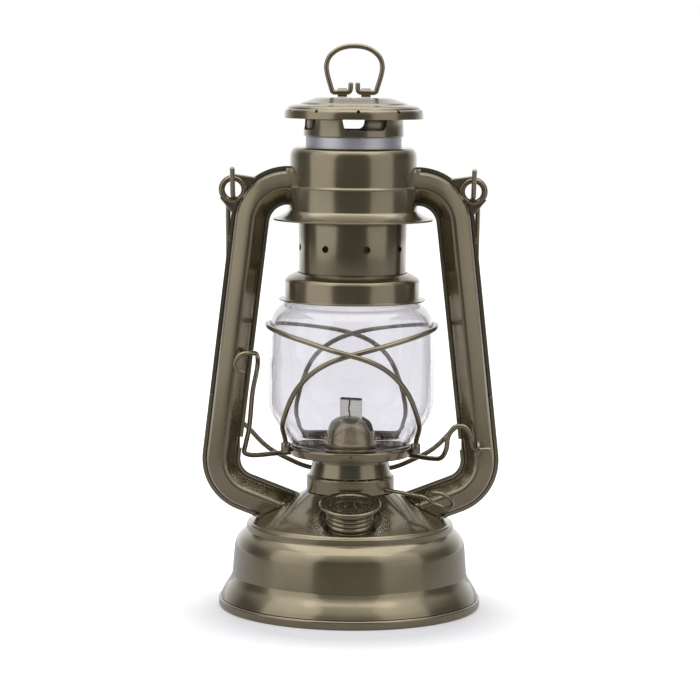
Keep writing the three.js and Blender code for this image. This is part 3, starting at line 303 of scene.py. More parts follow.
def turned(name, outline, sides=None):
    """An outline of (radius, height), spun about Z."""
    sides = sides or bpy.context.scene.lantern_sizes.turns
    on_axis = outline[0][0] < 1e-6 and outline[-1][0] < 1e-6
    piece = drawn(outline, closed=not on_axis)
    piece.name = name
    with editing(everything=True):
        bpy.ops.mesh.spin(
            steps=sides, angle=2 * math.pi, center=(0, 0, 0), axis=(0, 0, 1), use_auto_merge=True
        )
    return tidy_mesh(piece)


def wire(name, route, radius=None, sides=5, round_ends=True):
    """A round wire along a route of points in millimetres, with its two ends rounded."""
    radius = radius or mm("wire")
    points = [Vector(p) for p in route]
    widths = [1.0] * len(points)
    if round_ends:
        # Each end swells from a point to full width over half a radius or so.
        steps, swell = (0, 0.06, 0.25, 0.6), [0.05, 0.45, 0.78, 0.96]
        for _ in range(2):
            back = (points[1] - points[0]).normalized()
            cap = [points[0] + back * radius * reach for reach in steps]
            # The second round meets the other end, and turns the wire back again.
            points, widths = (cap + points[1:])[::-1], (swell + widths[1:])[::-1]
    piece = drawn(points)
    piece.name = name
    bpy.ops.object.convert(target="CURVE")
    piece = bpy.context.object
    spline = piece.data.splines[0]
    # The curve may run either way along the points.
    from_first, from_last = ((spline.points[end].co.xyz - points[0] * MM).length for end in (0, -1))
    for point, width in zip(spline.points, widths if from_first < from_last else widths[::-1]):
        point.radius = width
    piece.data.bevel_depth = radius * MM
    piece.data.bevel_resolution = sides
    piece.data.use_fill_caps = True
    bpy.ops.object.convert(target="MESH")
    return tidy_mesh(bpy.context.object)


def combined(piece, other, operation):
    """Combines a piece with another solid, which is used up, and welds what doubles along the seam."""
    modify(piece, "BOOLEAN", object=other, operation=operation, solver="EXACT")
    bpy.data.objects.remove(other)
    return tidy_mesh(piece)


def cut(piece, *tools):
    """Subtracts tools from a piece and deletes them."""
    for tool in tools:
        combined(piece, tool, "DIFFERENCE")
    return piece


def joined(piece, other):
    """Welds another solid to a piece."""
    return combined(piece, other, "UNION")


def rod(radius, start, end, sides=32):
    """A round bar between two points, in millimetres."""
    clear_selection()
    a, b = Vector(start), Vector(end)
    turn = Vector((0, 0, 1)).rotation_difference(b - a).to_euler()
    bpy.ops.mesh.primitive_cylinder_add(
        vertices=sides, radius=radius * MM, depth=(b - a).length * MM,
        location=(a + b) / 2 * MM, rotation=turn,
    )
    apply_place(bpy.context.object)
    return bpy.context.object


def block(low, high):
    """A box between two corners, in millimetres."""
    clear_selection()
    a, b = Vector(low), Vector(high)
    bpy.ops.mesh.primitive_cube_add(size=1, location=(a + b) / 2 * MM, scale=(b - a) * MM)
    apply_place(bpy.context.object)
    return bpy.context.object


def turn_about(piece, angle):
    """Turns a piece about the lantern's axis."""
    return placed(piece, (0, 0, 0), (0, 0, angle))


def set_down(piece, body, material, node, smooth=32):
    """Shades a finished piece, gives it its material and ties it to the frame."""
    pick(piece)
    bpy.ops.object.shade_smooth_by_angle(angle=math.radians(smooth))
    for made in list(piece.modifiers):
        bpy.ops.object.modifier_apply(modifier=made.name)
    piece.data.materials.clear()
    piece.data.materials.append(material)
    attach(piece, body)
    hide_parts(node)


def lacquered(piece, body, node, smooth=32):
    """Sets down a piece in the lantern's lacquer."""
    set_down(piece, body, metallic_lacquer(), node, smooth)


# Materials

def wired(tree, node, sockets):
    """Sets a node's inputs to values, or links them to the outputs of other nodes."""
    for key, value in sockets.items():
        if isinstance(value, bpy.types.NodeSocket):
            tree.links.new(value, node.inputs[key])
        else:
            node.inputs[key].default_value = value
    return node


def add_node(tree, kind, sockets=None, **settings):
    """Adds a shader node, sets its fields, and fills or links its inputs."""
    made = tree.nodes.new(kind)
    for key, value in settings.items():
        setattr(made, key, value)
    return wired(tree, made, sockets or {})


def maths(tree, operation, *inputs):
    """The result of a Math node."""
    return add_node(tree, "ShaderNodeMath", dict(enumerate(inputs)), operation=operation).outputs[0]


def spread(tree, value, low, high, to_low=0.0, to_high=1.0):
    """A value mapped from one range to another and clamped."""
    sockets = {"Value": value, 1: low, 2: high, 3: to_low, 4: to_high}
    return add_node(tree, "ShaderNodeMapRange", sockets).outputs["Result"]


def blended(tree, factor, a, b, mode="MIX"):
    """Two colours mixed by a factor."""
    made = add_node(tree, "ShaderNodeMix", data_type="RGBA", blend_type=mode)
    return wired(tree, made, {"Factor": factor, "A": a, "B": b}).outputs["Result"]


def ramp(tree, factor, stops):
    made = add_node(tree, "ShaderNodeValToRGB", {"Fac": factor})
    while len(made.color_ramp.elements) < len(stops):
        made.color_ramp.elements.new(0.5)
    for element, (position, value) in zip(made.color_ramp.elements, stops):
        element.position = position
        element.color = (*value, 1) if hasattr(value, "__len__") else (value, value, value, 1)
    return made.outputs["Color"]


def noise(tree, place, scale, detail=2.0):
    """Cloudy noise, its waves about 1 / scale metres long."""
    made = add_node(tree, "ShaderNodeTexNoise", {"Vector": place, "Scale": scale, "Detail": detail})
    return made.outputs["Fac"]


def bump(tree, height, strength, distance):
    made = add_node(tree, "ShaderNodeBump", {"Height": height, "Strength": strength, "Distance": distance})
    return made.outputs["Normal"]


def procedural(build):
    """Turns a build function into one that returns its material and builds it only once."""
    def found():
        made = bpy.data.materials.get(build.__name__)
        if not made:
            made = bpy.data.materials.new(build.__name__)
            made.use_nodes = True
            tree = made.node_tree
            tree.nodes.clear()
            shader = add_node(tree, "ShaderNodeBsdfPrincipled")
            add_node(tree, "ShaderNodeOutputMaterial", {"Surface": shader.outputs[0]})
            place = add_node(tree, "ShaderNodeTexCoord").outputs["Object"]
            build(tree, shader, place, bpy.context.scene.lantern_finishes)
        return made

    return found


@procedural
def metallic_lacquer(tree, shader, place, look):
    """Olive-bronze metallic lacquer, sprayed on pressed steel: fine flake, faint orange peel, satin gloss."""
    # Flakes of about 0.1 mm, drawn at 0.35 mm so that they show.
    flake = add_node(tree, "ShaderNodeTexVoronoi", {"Vector": place, "Scale": 2800.0})
    # Spray thickness wanders over about 25 mm.
    drift = noise(tree, place, 40.0, 3.0)
    base = ramp(tree, drift, [(0.35, look.lacquer_deep), (0.65, look.lacquer)])
    glint = ramp(tree, flake.outputs["Color"], [(0.0, 0.92), (1.0, 1.08)])
    # Orange peel has waves of about 0.8 mm.
    peel = noise(tree, place, 1200.0)
    wired(tree, shader, {
        "Base Color": blended(tree, 1.0, base, glint, "MULTIPLY"),
        "Metallic": 0.9,
        "Roughness": spread(tree, drift, 0.3, 0.7, look.gloss - 0.02, look.gloss + 0.04),
        "Normal": bump(tree, peel, 0.02, 0.0002),
        "Coat Weight": 0.9,
        "Coat Roughness": 0.12,
    })


@procedural
def bright_tinned_sheet(tree, shader, place, look):
    """Bare tinned steel, rolled: soft mirror with faint rings from turning."""
    # The rings lie 0.4 mm apart and run round the piece.
    stretch = add_node(tree, "ShaderNodeMapping", {"Vector": place, "Scale": (30.0, 30.0, 2500.0)})
    rings = noise(tree, stretch.outputs[0], 1.0)
    wired(tree, shader, {
        "Base Color": ramp(tree, rings, [(0.3, [c * 0.85 for c in look.bare]), (0.7, look.bare)]),
        "Metallic": 0.8,
        "Roughness": 0.42,
        "Normal": bump(tree, rings, 0.05, 0.0001),
    })


@procedural
def dull_brass(tree, shader, place, look):
    """Cast and stamped brass, dulled by heat in clouds of about 6 mm."""
    cloud = noise(tree, place, 180.0, 4.0)
    wired(tree, shader, {
        "Base Color": ramp(tree, cloud, [(0.3, [c * 0.55 for c in look.brass]), (0.75, look.brass)]),
        "Metallic": 1.0,
        "Roughness": 0.38,
    })


@procedural
def blown_glass(tree, shader, place, look):
    """Clear blown soda glass, slightly wavy."""
    wired(tree, shader, {
        "Base Color": (*look.glass_tint, 1),
        "Transmission Weight": 1.0,
        "Roughness": 0.0,
        "IOR": 1.45,
        # Waves from blowing, about 20 mm long.
        "Normal": bump(tree, noise(tree, place, 50.0, 1.0), 0.02, 0.0004),
    })
    # Light passes straight through to the wick and the plate.
    ray = add_node(tree, "ShaderNodeLightPath").outputs
    passing = maths(tree, "MAXIMUM", ray["Is Shadow Ray"], ray["Is Diffuse Ray"])
    clear = add_node(tree, "ShaderNodeBsdfTransparent", {"Color": (0.93, 0.93, 0.94, 1)})
    both = add_node(tree, "ShaderNodeMixShader", {0: passing, 1: shader.outputs[0], 2: clear.outputs[0]})
    end = next(node for node in tree.nodes if node.type == "OUTPUT_MATERIAL")
    wired(tree, end, {"Surface": both.outputs[0]})


@procedural
def woven_cotton(tree, shader, place, look):
    """Flat woven cotton wick, charred black along its burnt edge."""
    # Threads 0.6 mm apart, up and across.
    weave = {"Vector": place, "Scale": 260.0, "Distortion": 1.0}
    across = add_node(tree, "ShaderNodeTexWave", weave).outputs["Fac"]
    up = add_node(tree, "ShaderNodeTexWave", weave, bands_direction="Z").outputs["Fac"]
    woven = maths(tree, "MULTIPLY", up, across)
    thread = ramp(tree, woven, [(0.0, [c * 0.9 for c in look.cotton]), (0.5, look.cotton)])
    spot = add_node(tree, "ShaderNodeSeparateXYZ", {"Vector": place}).outputs
    # The last millimetre is burnt, unevenly.
    uneven = maths(tree, "MULTIPLY_ADD", noise(tree, place, 700.0), 0.0012, spot["Z"])
    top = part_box("wick")[1][2]
    burnt = spread(tree, uneven, top - 0.0008, top - 0.0001)
    charred = blended(tree, burnt, thread, (*look.char, 1))
    # A dark line in the char's colour runs down the middle of its face, swaying a little.
    sway = maths(tree, "MULTIPLY_ADD", noise(tree, place, 110.0), 0.004, spot["X"])
    away = maths(tree, "ABSOLUTE", maths(tree, "SUBTRACT", sway, 0.0012))
    wired(tree, shader, {
        "Base Color": blended(tree, spread(tree, away, 0.00045, 0.0002), charred, (*look.char, 1)),
        "Roughness": 0.95,
        "Normal": bump(tree, woven, 0.5, 0.0003),
    })


@procedural
def moulded_rubber(tree, shader, place, look):
    """Black moulded rubber, dusty and matte."""
    dust = noise(tree, place, 400.0)
    wired(tree, shader, {
        "Base Color": ramp(tree, dust, [(0.3, look.rubber), (0.8, [c * 2 for c in look.rubber])]),
        "Roughness": 0.75,
    })


@procedural
def seamless_paper(tree, shader, place, look):
    """White seamless paper: it keeps the shadow, has a painted grey shade round the lantern's foot, and is
    white to the camera.
    """
    tone = ramp(tree, noise(tree, place, 300.0), [(0.0, look.paper_deep), (1.0, look.paper)])
    # The sheet ends in front of the lantern; beyond it the studio's floor is dark.
    depth = add_node(tree, "ShaderNodeSeparateXYZ", {"Vector": place}).outputs["Y"]
    front = spread(tree, depth, -0.9, -0.25, 0.3, 1.0)
    base = add_node(tree, "ShaderNodeVectorMath", {0: tone, "Scale": front}, operation="SCALE")
    # It runs out to white around the lantern, and keeps its shadow near by.
    # It glows up to white away from the lantern. Near it, round a spot a little in front of its axis, it
    # glows less, which paints a grey shade round the foot on top of the real shadow it keeps.
    away = add_node(tree, "ShaderNodeVectorMath", {0: place, 1: (0, -0.03, 0)}, operation="DISTANCE")
    lift = spread(tree, away.outputs["Value"], 0.055, 0.13, 0.2, 0.95)
    # Metal mirrors that white only behind the lantern.
    glossy = add_node(tree, "ShaderNodeLightPath").outputs["Is Glossy Ray"]
    mirrored_in = maths(tree, "MULTIPLY", spread(tree, depth, 0.2, 1.4), glossy)
    shown = maths(tree, "MAXIMUM", mirrored_in, seen(tree))
    wired(tree, shader, {
        "Base Color": base.outputs[0],
        "Roughness": 1.0,
        "Specular IOR Level": 0.0,
        "Emission Color": (1, 1, 1, 1),
        "Emission Strength": maths(tree, "MULTIPLY", lift, shown),
    })


def seen(tree):
    """1 for what the camera sees, also through glass."""
    ray = add_node(tree, "ShaderNodeLightPath").outputs
    return maths(tree, "MAXIMUM", ray["Is Camera Ray"], ray["Is Transmission Ray"])


# The lantern's own lines: shares of the way across and up between two corners

FLARE = [(0.14, 0.2), (0.41, 0.48), (0.73, 0.76), (0.9, 1)]
SHOULDER = [(0.08, 0.28), (0.33, 0.62), (0.66, 0.85), (0.92, 0.98)]
DRUM_SHOULDER = [(0.02, 0.02), (0.2, 0.09), (0.5, 0.11), (0.56, 0.2), (0.82, 0.45), (1, 0.7)]
DOME = [(0, 0.145), (0.047, 0.195), (0.054, 0.3), (0.116, 0.54), (0.27, 0.774), (0.52, 0.93), (0.83, 0.994)]
GLOBE_FOOT = [(0.069, 0.092), (0.092, 0.137), (0.362, 0.335), (0.669, 0.53), (0.885, 0.717), (0.985, 0.906)]
GLOBE_HEAD = [(0.02, 0.4), (0.07, 0.6), (0.26, 0.79), (0.58, 0.9), (0.86, 0.965)]
GUARD_FRONT = [
    (0.006, 0.012), (0.071, 0.1), (0.161, 0.24), (0.204, 0.4), (0.241, 0.517), (0.296, 0.632),
    (0.361, 0.725), (0.428, 0.787), (0.497, 0.827), (0.568, 0.865), (0.672, 0.917), (0.811, 0.968), (1, 1),
]
GUARD_BACK = [
    (0.146, 0.012), (0.361, 0.058), (0.487, 0.095), (0.573, 0.13), (0.658, 0.178), (0.739, 0.252),
    (0.794, 0.328), (0.836, 0.428), (0.869, 0.548), (0.893, 0.672), (0.94, 0.816), (0.975, 0.9),
    (0.987, 0.95), (0.984, 0.985), (0.965, 1), (0.92, 1),
]
COLLAR = [(0.1, 0.3), (0.45, 0.66), (0.8, 0.92)]
AIR_FLARE = [(0.3, 0.14), (0.62, 0.42), (0.86, 0.72)]
AIR_SHOULDER = [(0.02, 0.3), (0.09, 0.58), (0.25, 0.82), (0.5, 0.96)]
CROWN = [(0.06, 0.35), (0.3, 0.75), (0.75, 0.97)]
CROWN_TOP = [(0.3, 0.35), (0.75, 0.9)]
PULL_RING = [(0.3, 0.11), (0.64, 0.27), (0.92, 0.43), (1, 0.57), (0.6, 0.76), (-0.5, 0.91), (-1.75, 0.98)]
TUBE_SECTION = [(-1, 0), (-0.94, 0.44), (-0.8, 0.69), (-0.4, 0.84), (0.1, 1), (0.32, 0.9), (0.9, 0.3), (1, 0)]
BAIL = [(0, 0.3), (0, 0.55), (0.035, 0.8), (0.14, 0.835), (0.31, 0.915), (0.5, 0.963), (0.67, 0.993), (1, 1)]

# Places that several pieces share, in millimetres and radians

FIT = 0.3  # joint between two seated pieces
BURNER_TURN = math.radians(-22)
FILLER_TILT = math.radians(13.5)
FILLER_SEAT = (0, -38, 57.4)
SKIRT_LOW = 4.7  # lower edge of the fount's shell
KEY_WIRE = 0.95  # radius of the wick key's wire
GLOBE_FLOOR, PLATE_TOP = 76.6, 77.4
GUARD_RING = 31.9  # radius at which the guard runs round its plate
GUARD_END = (32.9, math.radians(12))  # radius and turn of the barrels for its ends
TUBE_HEAD = (48.9, 209.6)  # upper bend of a side tube's middle line, across and up
TUBE_FOOT = (65.9, 61.4)  # its lower bend
SEAM_FACE, SEAM_GAP = 0.85, 0.15  # outer and inner face of a seam flange
EAR = (59.3, 207.3)  # centre of the ear that holds the bail's hook
LEVER_AXIS = (-11, 80.3)  # depth and height of the lever's axis


def eased(start, end, shares):
    """Points between two corners, by their shares of the way along each axis."""
    return [tuple(mix(a, b, s) for a, b, s in zip(start, end, share)) for share in shares]


def run(start, end, shares, per=4):
    """A smooth line from start to end through points given by their shares."""
    return flowing([start, *eased(start, end, shares), end], per)


def on_filler(piece):
    """Tilts a piece modelled about Z and sets it on the filler's place."""
    return placed(piece, Vector(FILLER_SEAT), (FILLER_TILT, 0, 0))


# FOUNT

def fount_line():
    """The fount's outside, from the skirt to the cone's upper edge."""
    wall, cone = mm("wall_radius"), mm("cone_radius")
    skirt, wall_foot, wall_head = (mm("foot_radius") - 1, SKIRT_LOW), (wall, 16), (wall - 0.4, 29)
    line = flowing([skirt, *eased(skirt, wall_foot, FLARE)], 5)
    line += run(wall_head, (cone, 38.4), SHOULDER)
    line += [(cone, 41.1), (cone - 0.5, 41.8), (cone - 1.2, 41.8), (cone - 1.55, 41.6), (cone - 2, 42.4)]
    return [*line, (22.4, mm("cone_top"))]


def filled(name, line, low):
    """A solid of revolution under an outside line."""
    return turned(name, [(0, low), (line[0][0], low), *line, (0, line[-1][1])])


def fount_solid(name, grow):
    """All that the fount's outside holds, grown outwards, as a tool for pieces that stand on it."""
    return filled(name, beside(fount_line(), -grow), SKIRT_LOW)


def pocket(grow):
    """The conical pocket pressed into the fount for the filler, grown outwards."""
    floor, mouth, depth, rise = 14.4, 16.6, 13, 8.2
    widening = (mouth - floor) / depth
    foot = (floor + grow, -depth - grow)
    line = [(0, foot[1]), foot, (mouth + widening * rise + grow, rise), (0, rise)]
    return on_filler(turned("pocket_tool", softened(line, 2.5), 96))


class LANTERN_OT_fount(bpy.types.Operator):
    """Builds the fount: shell with its filler pocket, and the rolled foot"""

    bl_idname = "lantern.fount"
    bl_label = "Fount"

    def execute(self, context):
        line = fount_line()
        shell = filled("fount_shell", softened(line, 0.35, closed=False), SKIRT_LOW)
        inner = filled("inner_tool", beside(line, mm("sheet")), -1.3)
        cut(inner, pocket(mm("sheet")))
        cut(shell, pocket(0), inner)
        neck_hole = turned("neck_tool", [(0, -19), (10.3, -19), (10.3, 0), (0, 0)], 64)
        cut(shell, on_filler(neck_hole), rod(9.6, (0, 0, 51), (0, 0, 64), 64))
        lacquered(shell, "frame", "tank_shell", smooth=28)

        foot = mm("foot_radius")
        bead = foot - 2.6
        roll = [(bead, 1.6), (bead + 0.2, 0), (foot, 0), (foot, 4.4), (bead + 0.2, 4.4), (bead - 0.4, 2.4)]
        floor = turned("fount_foot", [(0, 1.6), *softened(roll, 1.5, 6), (0, 2.4)])
        lacquered(floor, "frame", "tank_floor")
        return {"FINISHED"}


# FILLER

class LANTERN_OT_filler(bpy.types.Operator):
    """Builds the filler: neck and screw cap with its ribbed skirt"""

    bl_idname = "lantern.filler"
    bl_label = "Filler"

    def execute(self, context):
        foot, top = -12.7, -3.9
        line = [(9.2, foot - 2.6), (10, foot - 2.6), (10, foot), (11.8, foot), (11.8, foot + 0.8)]
        line += [(10, foot + 0.8), (10, top), (9.2, top)]
        neck = on_filler(turned("filler_stub", softened(line, 0.2), 64))
        lacquered(neck, "frame", "filler_neck")

        low, rim, brim = -11.6, -2.2, 15.3
        line = [(10.5, low), (10.9, low)]
        ribs, stations = 4, 12
        for i in range(1, ribs * stations):
            swell = abs(math.sin(math.pi * i / stations)) ** 0.8
            line.append((11.2 + 0.7 * swell, mix(low, rim, i / (ribs * stations))))
        edge = [(12.4, rim + 0.15), (brim, rim + 0.7), (brim, -0.5), (14.6, 0), (12.9, -0.25)]
        line += [(11.3, rim), edge[0], *softened([*edge, (11.6, -1.3), (8, -1.3)], 0.45)[1:-1]]
        line += [(9.6, -1.3), (9.2, -1.12), (8.6, -1.12), (8.2, -1.3), (7, -0.95), (5, -0.6), (2.5, -0.36)]
        line += [(0, -0.28), (0, -2.1), (10.5, -2.1)]
        # It is drawn a little narrower than this, to stay inside its packed size.
        narrower = 0.984
        cap = turned("screw_cap", [(across * narrower, height) for across, height in line], 144)
        lacquered(on_filler(cap), "cap", "filler_cap")
        return {"FINISHED"}


# BURNER

def on_shaft(piece):
    """Lays a piece modelled about Z along the wick's shaft."""
    turn = Matrix.Rotation(BURNER_TURN, 4, "Z")
    lay = Matrix.Translation(Vector((0, -5.4, 62.2)) * MM) @ Matrix.Rotation(math.radians(96), 4, "Y")
    piece.matrix_world = turn @ lay
    apply_place(piece)
    return piece


class LANTERN_OT_burner(bpy.types.Operator):
    """Builds the burner: drum, slotted dome, wick and key"""

    bl_idname = "lantern.burner"
    bl_label = "Burner"

    def execute(self, context):
        sheet = mm("sheet")
        shoulder, head = (21.85, 64.6), (18.9, 75.9)
        bend = softened([shoulder, *eased(shoulder, head, DRUM_SHOULDER)], 0.4, closed=False)
        outside = [(21.85, 57.7), *bend, head, (18.5, 76.3), (12.9, 76.3)]
        drum = turned("burner_gallery", walled(outside, sheet))
        cut(drum, on_shaft(rod(KEY_WIRE + FIT, (0, 0, 0), (0, 0, 30), 24)))
        lacquered(drum, "frame", "burner_drum")

        foot, top = (12.9, 79.7), (0, 95.5)
        line = [foot, *flowing(eased(foot, top, DOME[:2]), 3)]
        line += flowing([*eased(foot, top, DOME[2:]), top], 5)
        dome = turned("burner_cap", softened(line, 0.25, closed=False) + beside(line, sheet)[::-1], 96)
        slot = block((-11.4, -2.7, 86.2), (11.4, 2.7, 102))
        modify(slot, "BEVEL", width=1.5 * MM, segments=4, limit_method="ANGLE")
        cut(dome, turn_about(slot, BURNER_TURN))
        lacquered(dome, "frame", "burner_dome", smooth=40)

        wick = block((-5.75, -1.1, 16), (5.75, 1.1, 104.2))
        wick.name = "flat_wick"
        with editing(everything=True):
            bpy.ops.mesh.bevel(offset=0.7 * MM, segments=3, affect="EDGES")
        set_down(turn_about(wick, BURNER_TURN), "wick", woven_cotton(), "wick", smooth=50)

        lean, reach, loop, stations = math.radians(40), 50, 6.6, 36
        entry = reach - loop - KEY_WIRE - mm("wire")

        def on_loop(along, out):
            return (out * math.sin(lean), out * math.cos(lean), along)

        route = [on_loop(-6, 0), on_loop(20, 0), on_loop(entry - loop, 0), on_loop(entry, 0.5)]
        for k in range(stations + 1):
            turn = math.radians(mix(155, -166, k / stations))
            route.append(on_loop(reach + loop * math.cos(turn), loop * math.sin(turn)))
        key = wire("wick_key_wire", flowing(route, 3), KEY_WIRE)
        lacquered(on_shaft(key), "wick_drive", "wick_key")
        return {"FINISHED"}


# GLOBE

def globe_line():
    """The globe's outside, from its foot to its neck."""
    widest = mm("globe_radius")
    foot, belly, full, neck = (28.2, 77.7), (widest, 104.5), (widest, 119), (32.3, 153)
    line = flowing([foot, *eased(foot, belly, GLOBE_FOOT[:2])], 3)
    bulge = [*eased(foot, belly, GLOBE_FOOT[2:]), belly, full, *eased(full, neck, GLOBE_HEAD), neck]
    return [*line, *flowing(bulge, 6), Vector((32.3, 158.5))]


def globe_radius_at(height):
    line = globe_line()
    for a, b in zip(line, line[1:]):
        if b.y >= height and b.y > a.y:
            return mix(a.x, b.x, (height - a.y) / (b.y - a.y))
    return line[-1].x


def on_guard(turn, height, lift=0):
    """A point of the guard by its turn from the left, through the front, and its height."""
    reach = globe_radius_at(height) + 0.6 + mm("wire") if height > 83.2 else GUARD_RING
    radius = max(reach, GUARD_RING) + lift
    angle = math.radians(turn)
    return (-radius * math.cos(angle), -radius * math.sin(angle), height)


def cross_lift(turn):
    """How far the upper wire stands off near the two crossings, in front and behind."""
    away = min(abs(turn - 90), abs(turn - 270))
    share = min(1, max(0, (27 - away) / 18))
    return 2.9 * share * share * (3 - 2 * share)


def guard_side(lifted, step=5):
    """One side of the guard: up round the front, over the globe's shoulder and down round the back."""
    low, high, back_low = (12, 83.65), (180, 141), (327, 81.9)
    marks = eased(low, high, GUARD_FRONT) + eased(high, back_low, GUARD_BACK)
    side, last = [], marks[0]
    for turn, height in marks:
        parts = max(1, math.ceil(abs(turn - last[0]) / step))
        for k in range(1, parts + 1):
            here = mix(last[0], turn, k / parts)
            side.append(on_guard(here, mix(last[1], height, k / parts), cross_lift(here) if lifted else 0))
        last = (turn, height)
    return side


def relaxed(points, rounds=3):
    """The route with small kinks averaged out, its ends kept."""
    found = [Vector(p) for p in points]
    for _ in range(rounds):
        between = [(a + b * 2 + c) / 4 for a, b, c in zip(found, found[1:], found[2:])]
        found = [found[0], *between, found[-1]]
    return found


class LANTERN_OT_globe(bpy.types.Operator):
    """Builds the globe, its pierced plate and the guard wire"""

    bl_idname = "lantern.globe"
    bl_label = "Globe"

    def execute(self, context):
        glass = turned("glass_globe", walled(globe_line(), mm("globe_wall"), 0.8))
        set_down(glass, "globe_carrier", blown_glass(), "globe")

        hole, floor, top, foot = 13.4, GLOBE_FLOOR, PLATE_TOP, 75.6
        line = [(hole, floor), (28.2, floor), (28.5, foot), (29.6, foot), (30.9, 79.4)]
        line += [(30.6, 80.2), (30.1, 80.2), (29.3, 79.4), (28.8, top), (hole, top)]
        plate = turned("globe_plate_sheet", softened(line, 0.35, 4))
        count = 16
        slots = [block((16.2, -0.75, 70), (25.4, 0.75, 83)) for _ in range(count)]
        cut(plate, *[turn_about(slot, 2 * math.pi * (i + 0.5) / count) for i, slot in enumerate(slots)])
        reach, turn = GUARD_END
        for x, y in (
            (reach * math.cos(turn), -reach * math.sin(turn)),
            (-reach * math.cos(turn), -reach * math.sin(turn)),
        ):
            barrel = rod(2.45, (x, y, top), (x, y, top + 5))
            modify(barrel, "BEVEL", width=0.3 * MM, segments=2, limit_method="ANGLE")
            joined(plate, barrel)
            cut(plate, rod(mm("wire") + FIT, (x, y, 72), (x, y, 90)))
        cut(plate, rod(0.85, (0, -27, 78.3), (0, -34, 78.3), 20))
        saddle = block((-3, 30.1, 78.5), (3, 33.15, 80.35))
        modify(saddle, "BEVEL", width=0.3 * MM, segments=2, limit_method="ANGLE")
        joined(plate, saddle)
        lacquered(plate, "globe_carrier", "globe_plate")

        x, y = -reach * math.cos(turn), -reach * math.sin(turn)
        end = [(x, y, top), (x, y, 80), (x, y, 82.4)]
        back = [on_guard(mix(317, 223, s), 81.9) for s in (0.1, 0.3, 0.5, 0.7, 0.9)]
        route = [*end, *guard_side(False), *back, *mirrored(guard_side(True)), *mirrored(end)]
        guard = wire("guard_wire_bent", relaxed(route))
        lacquered(guard, "globe_carrier", "guard_wire")
        return {"FINISHED"}


# CHIMNEY AND AIR DRUM

def around(near, far, count, first, radius, height, sides=32):
    """Round cutters that run outwards along spokes, the first one turned from the front."""
    tools = []
    for i in range(count):
        turn = math.radians(first - 90) + 2 * math.pi * i / count
        start, end = [(reach * math.cos(turn), reach * math.sin(turn), height) for reach in (near, far)]
        tools.append(rod(radius, start, end, sides))
    return tools


class LANTERN_OT_chimney(bpy.types.Operator):
    """Builds the collar, the pierced chimney, the air drum and its spring"""

    bl_idname = "lantern.chimney"
    bl_label = "Chimney"

    def execute(self, context):
        sheet = mm("sheet")
        line = [(36.5, 153.8), (33.6, 153.8), *run((33.6, 162.6), (27.3, 166.9), COLLAR)]
        collar = turned("globe_collar_sheet", walled(line, sheet, 0.35))
        lacquered(collar, "hood", "globe_collar")

        radius, low, high = mm("chimney_radius"), 161.5, 198
        tube = turned("pierced_chimney", softened(sleeve_line(radius, low, high), 0.2, 2))
        cut(tube, *around(20, 32, 8, 15, 1.8, 179.6))
        lacquered(tube, "hood", "chimney_tube")

        radius = mm("drum_radius")
        line = run((39.8, 193.4), (radius, 197.6), AIR_FLARE)
        line += [(radius, 208.4), (radius + 0.15, 208.9), (radius - 0.35, 209.6), (radius - 0.5, 210.2)]
        line += [*run((radius - 0.5, 222.9), (26.1, 228.7), AIR_SHOULDER), (24.1, 228.7)]
        drum = turned("air_chamber", walled(line, sheet, 0.35))
        joined(drum, turned("air_floor", [(27.3, 197.4), (31.6, 197.4), (31.6, 198.2), (27.3, 198.2)], 96))
        lacquered(drum, "frame", "air_drum")

        radius, low, high, coils, stations = 26.7, 200, 227, 5, 32
        route = []
        for k in range(coils * stations + 1):
            turn, height = 2 * math.pi * k / stations, mix(low, high, k / (coils * stations))
            route.append((radius * math.cos(turn), radius * math.sin(turn), height))
        spring = wire("hood_spring_coil", route, 0.6, 3)
        set_down(spring, "frame", bright_tinned_sheet(), "hood_spring")
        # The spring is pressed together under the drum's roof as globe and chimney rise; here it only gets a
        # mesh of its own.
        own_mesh(spring)
        return {"FINISHED"}


# HOOD

def sleeve_line(radius, low, high):
    """The outline of a plain sheet tube."""
    inner = radius - mm("sheet")
    return [(inner, low), (radius, low), (radius, high), (inner, high)]


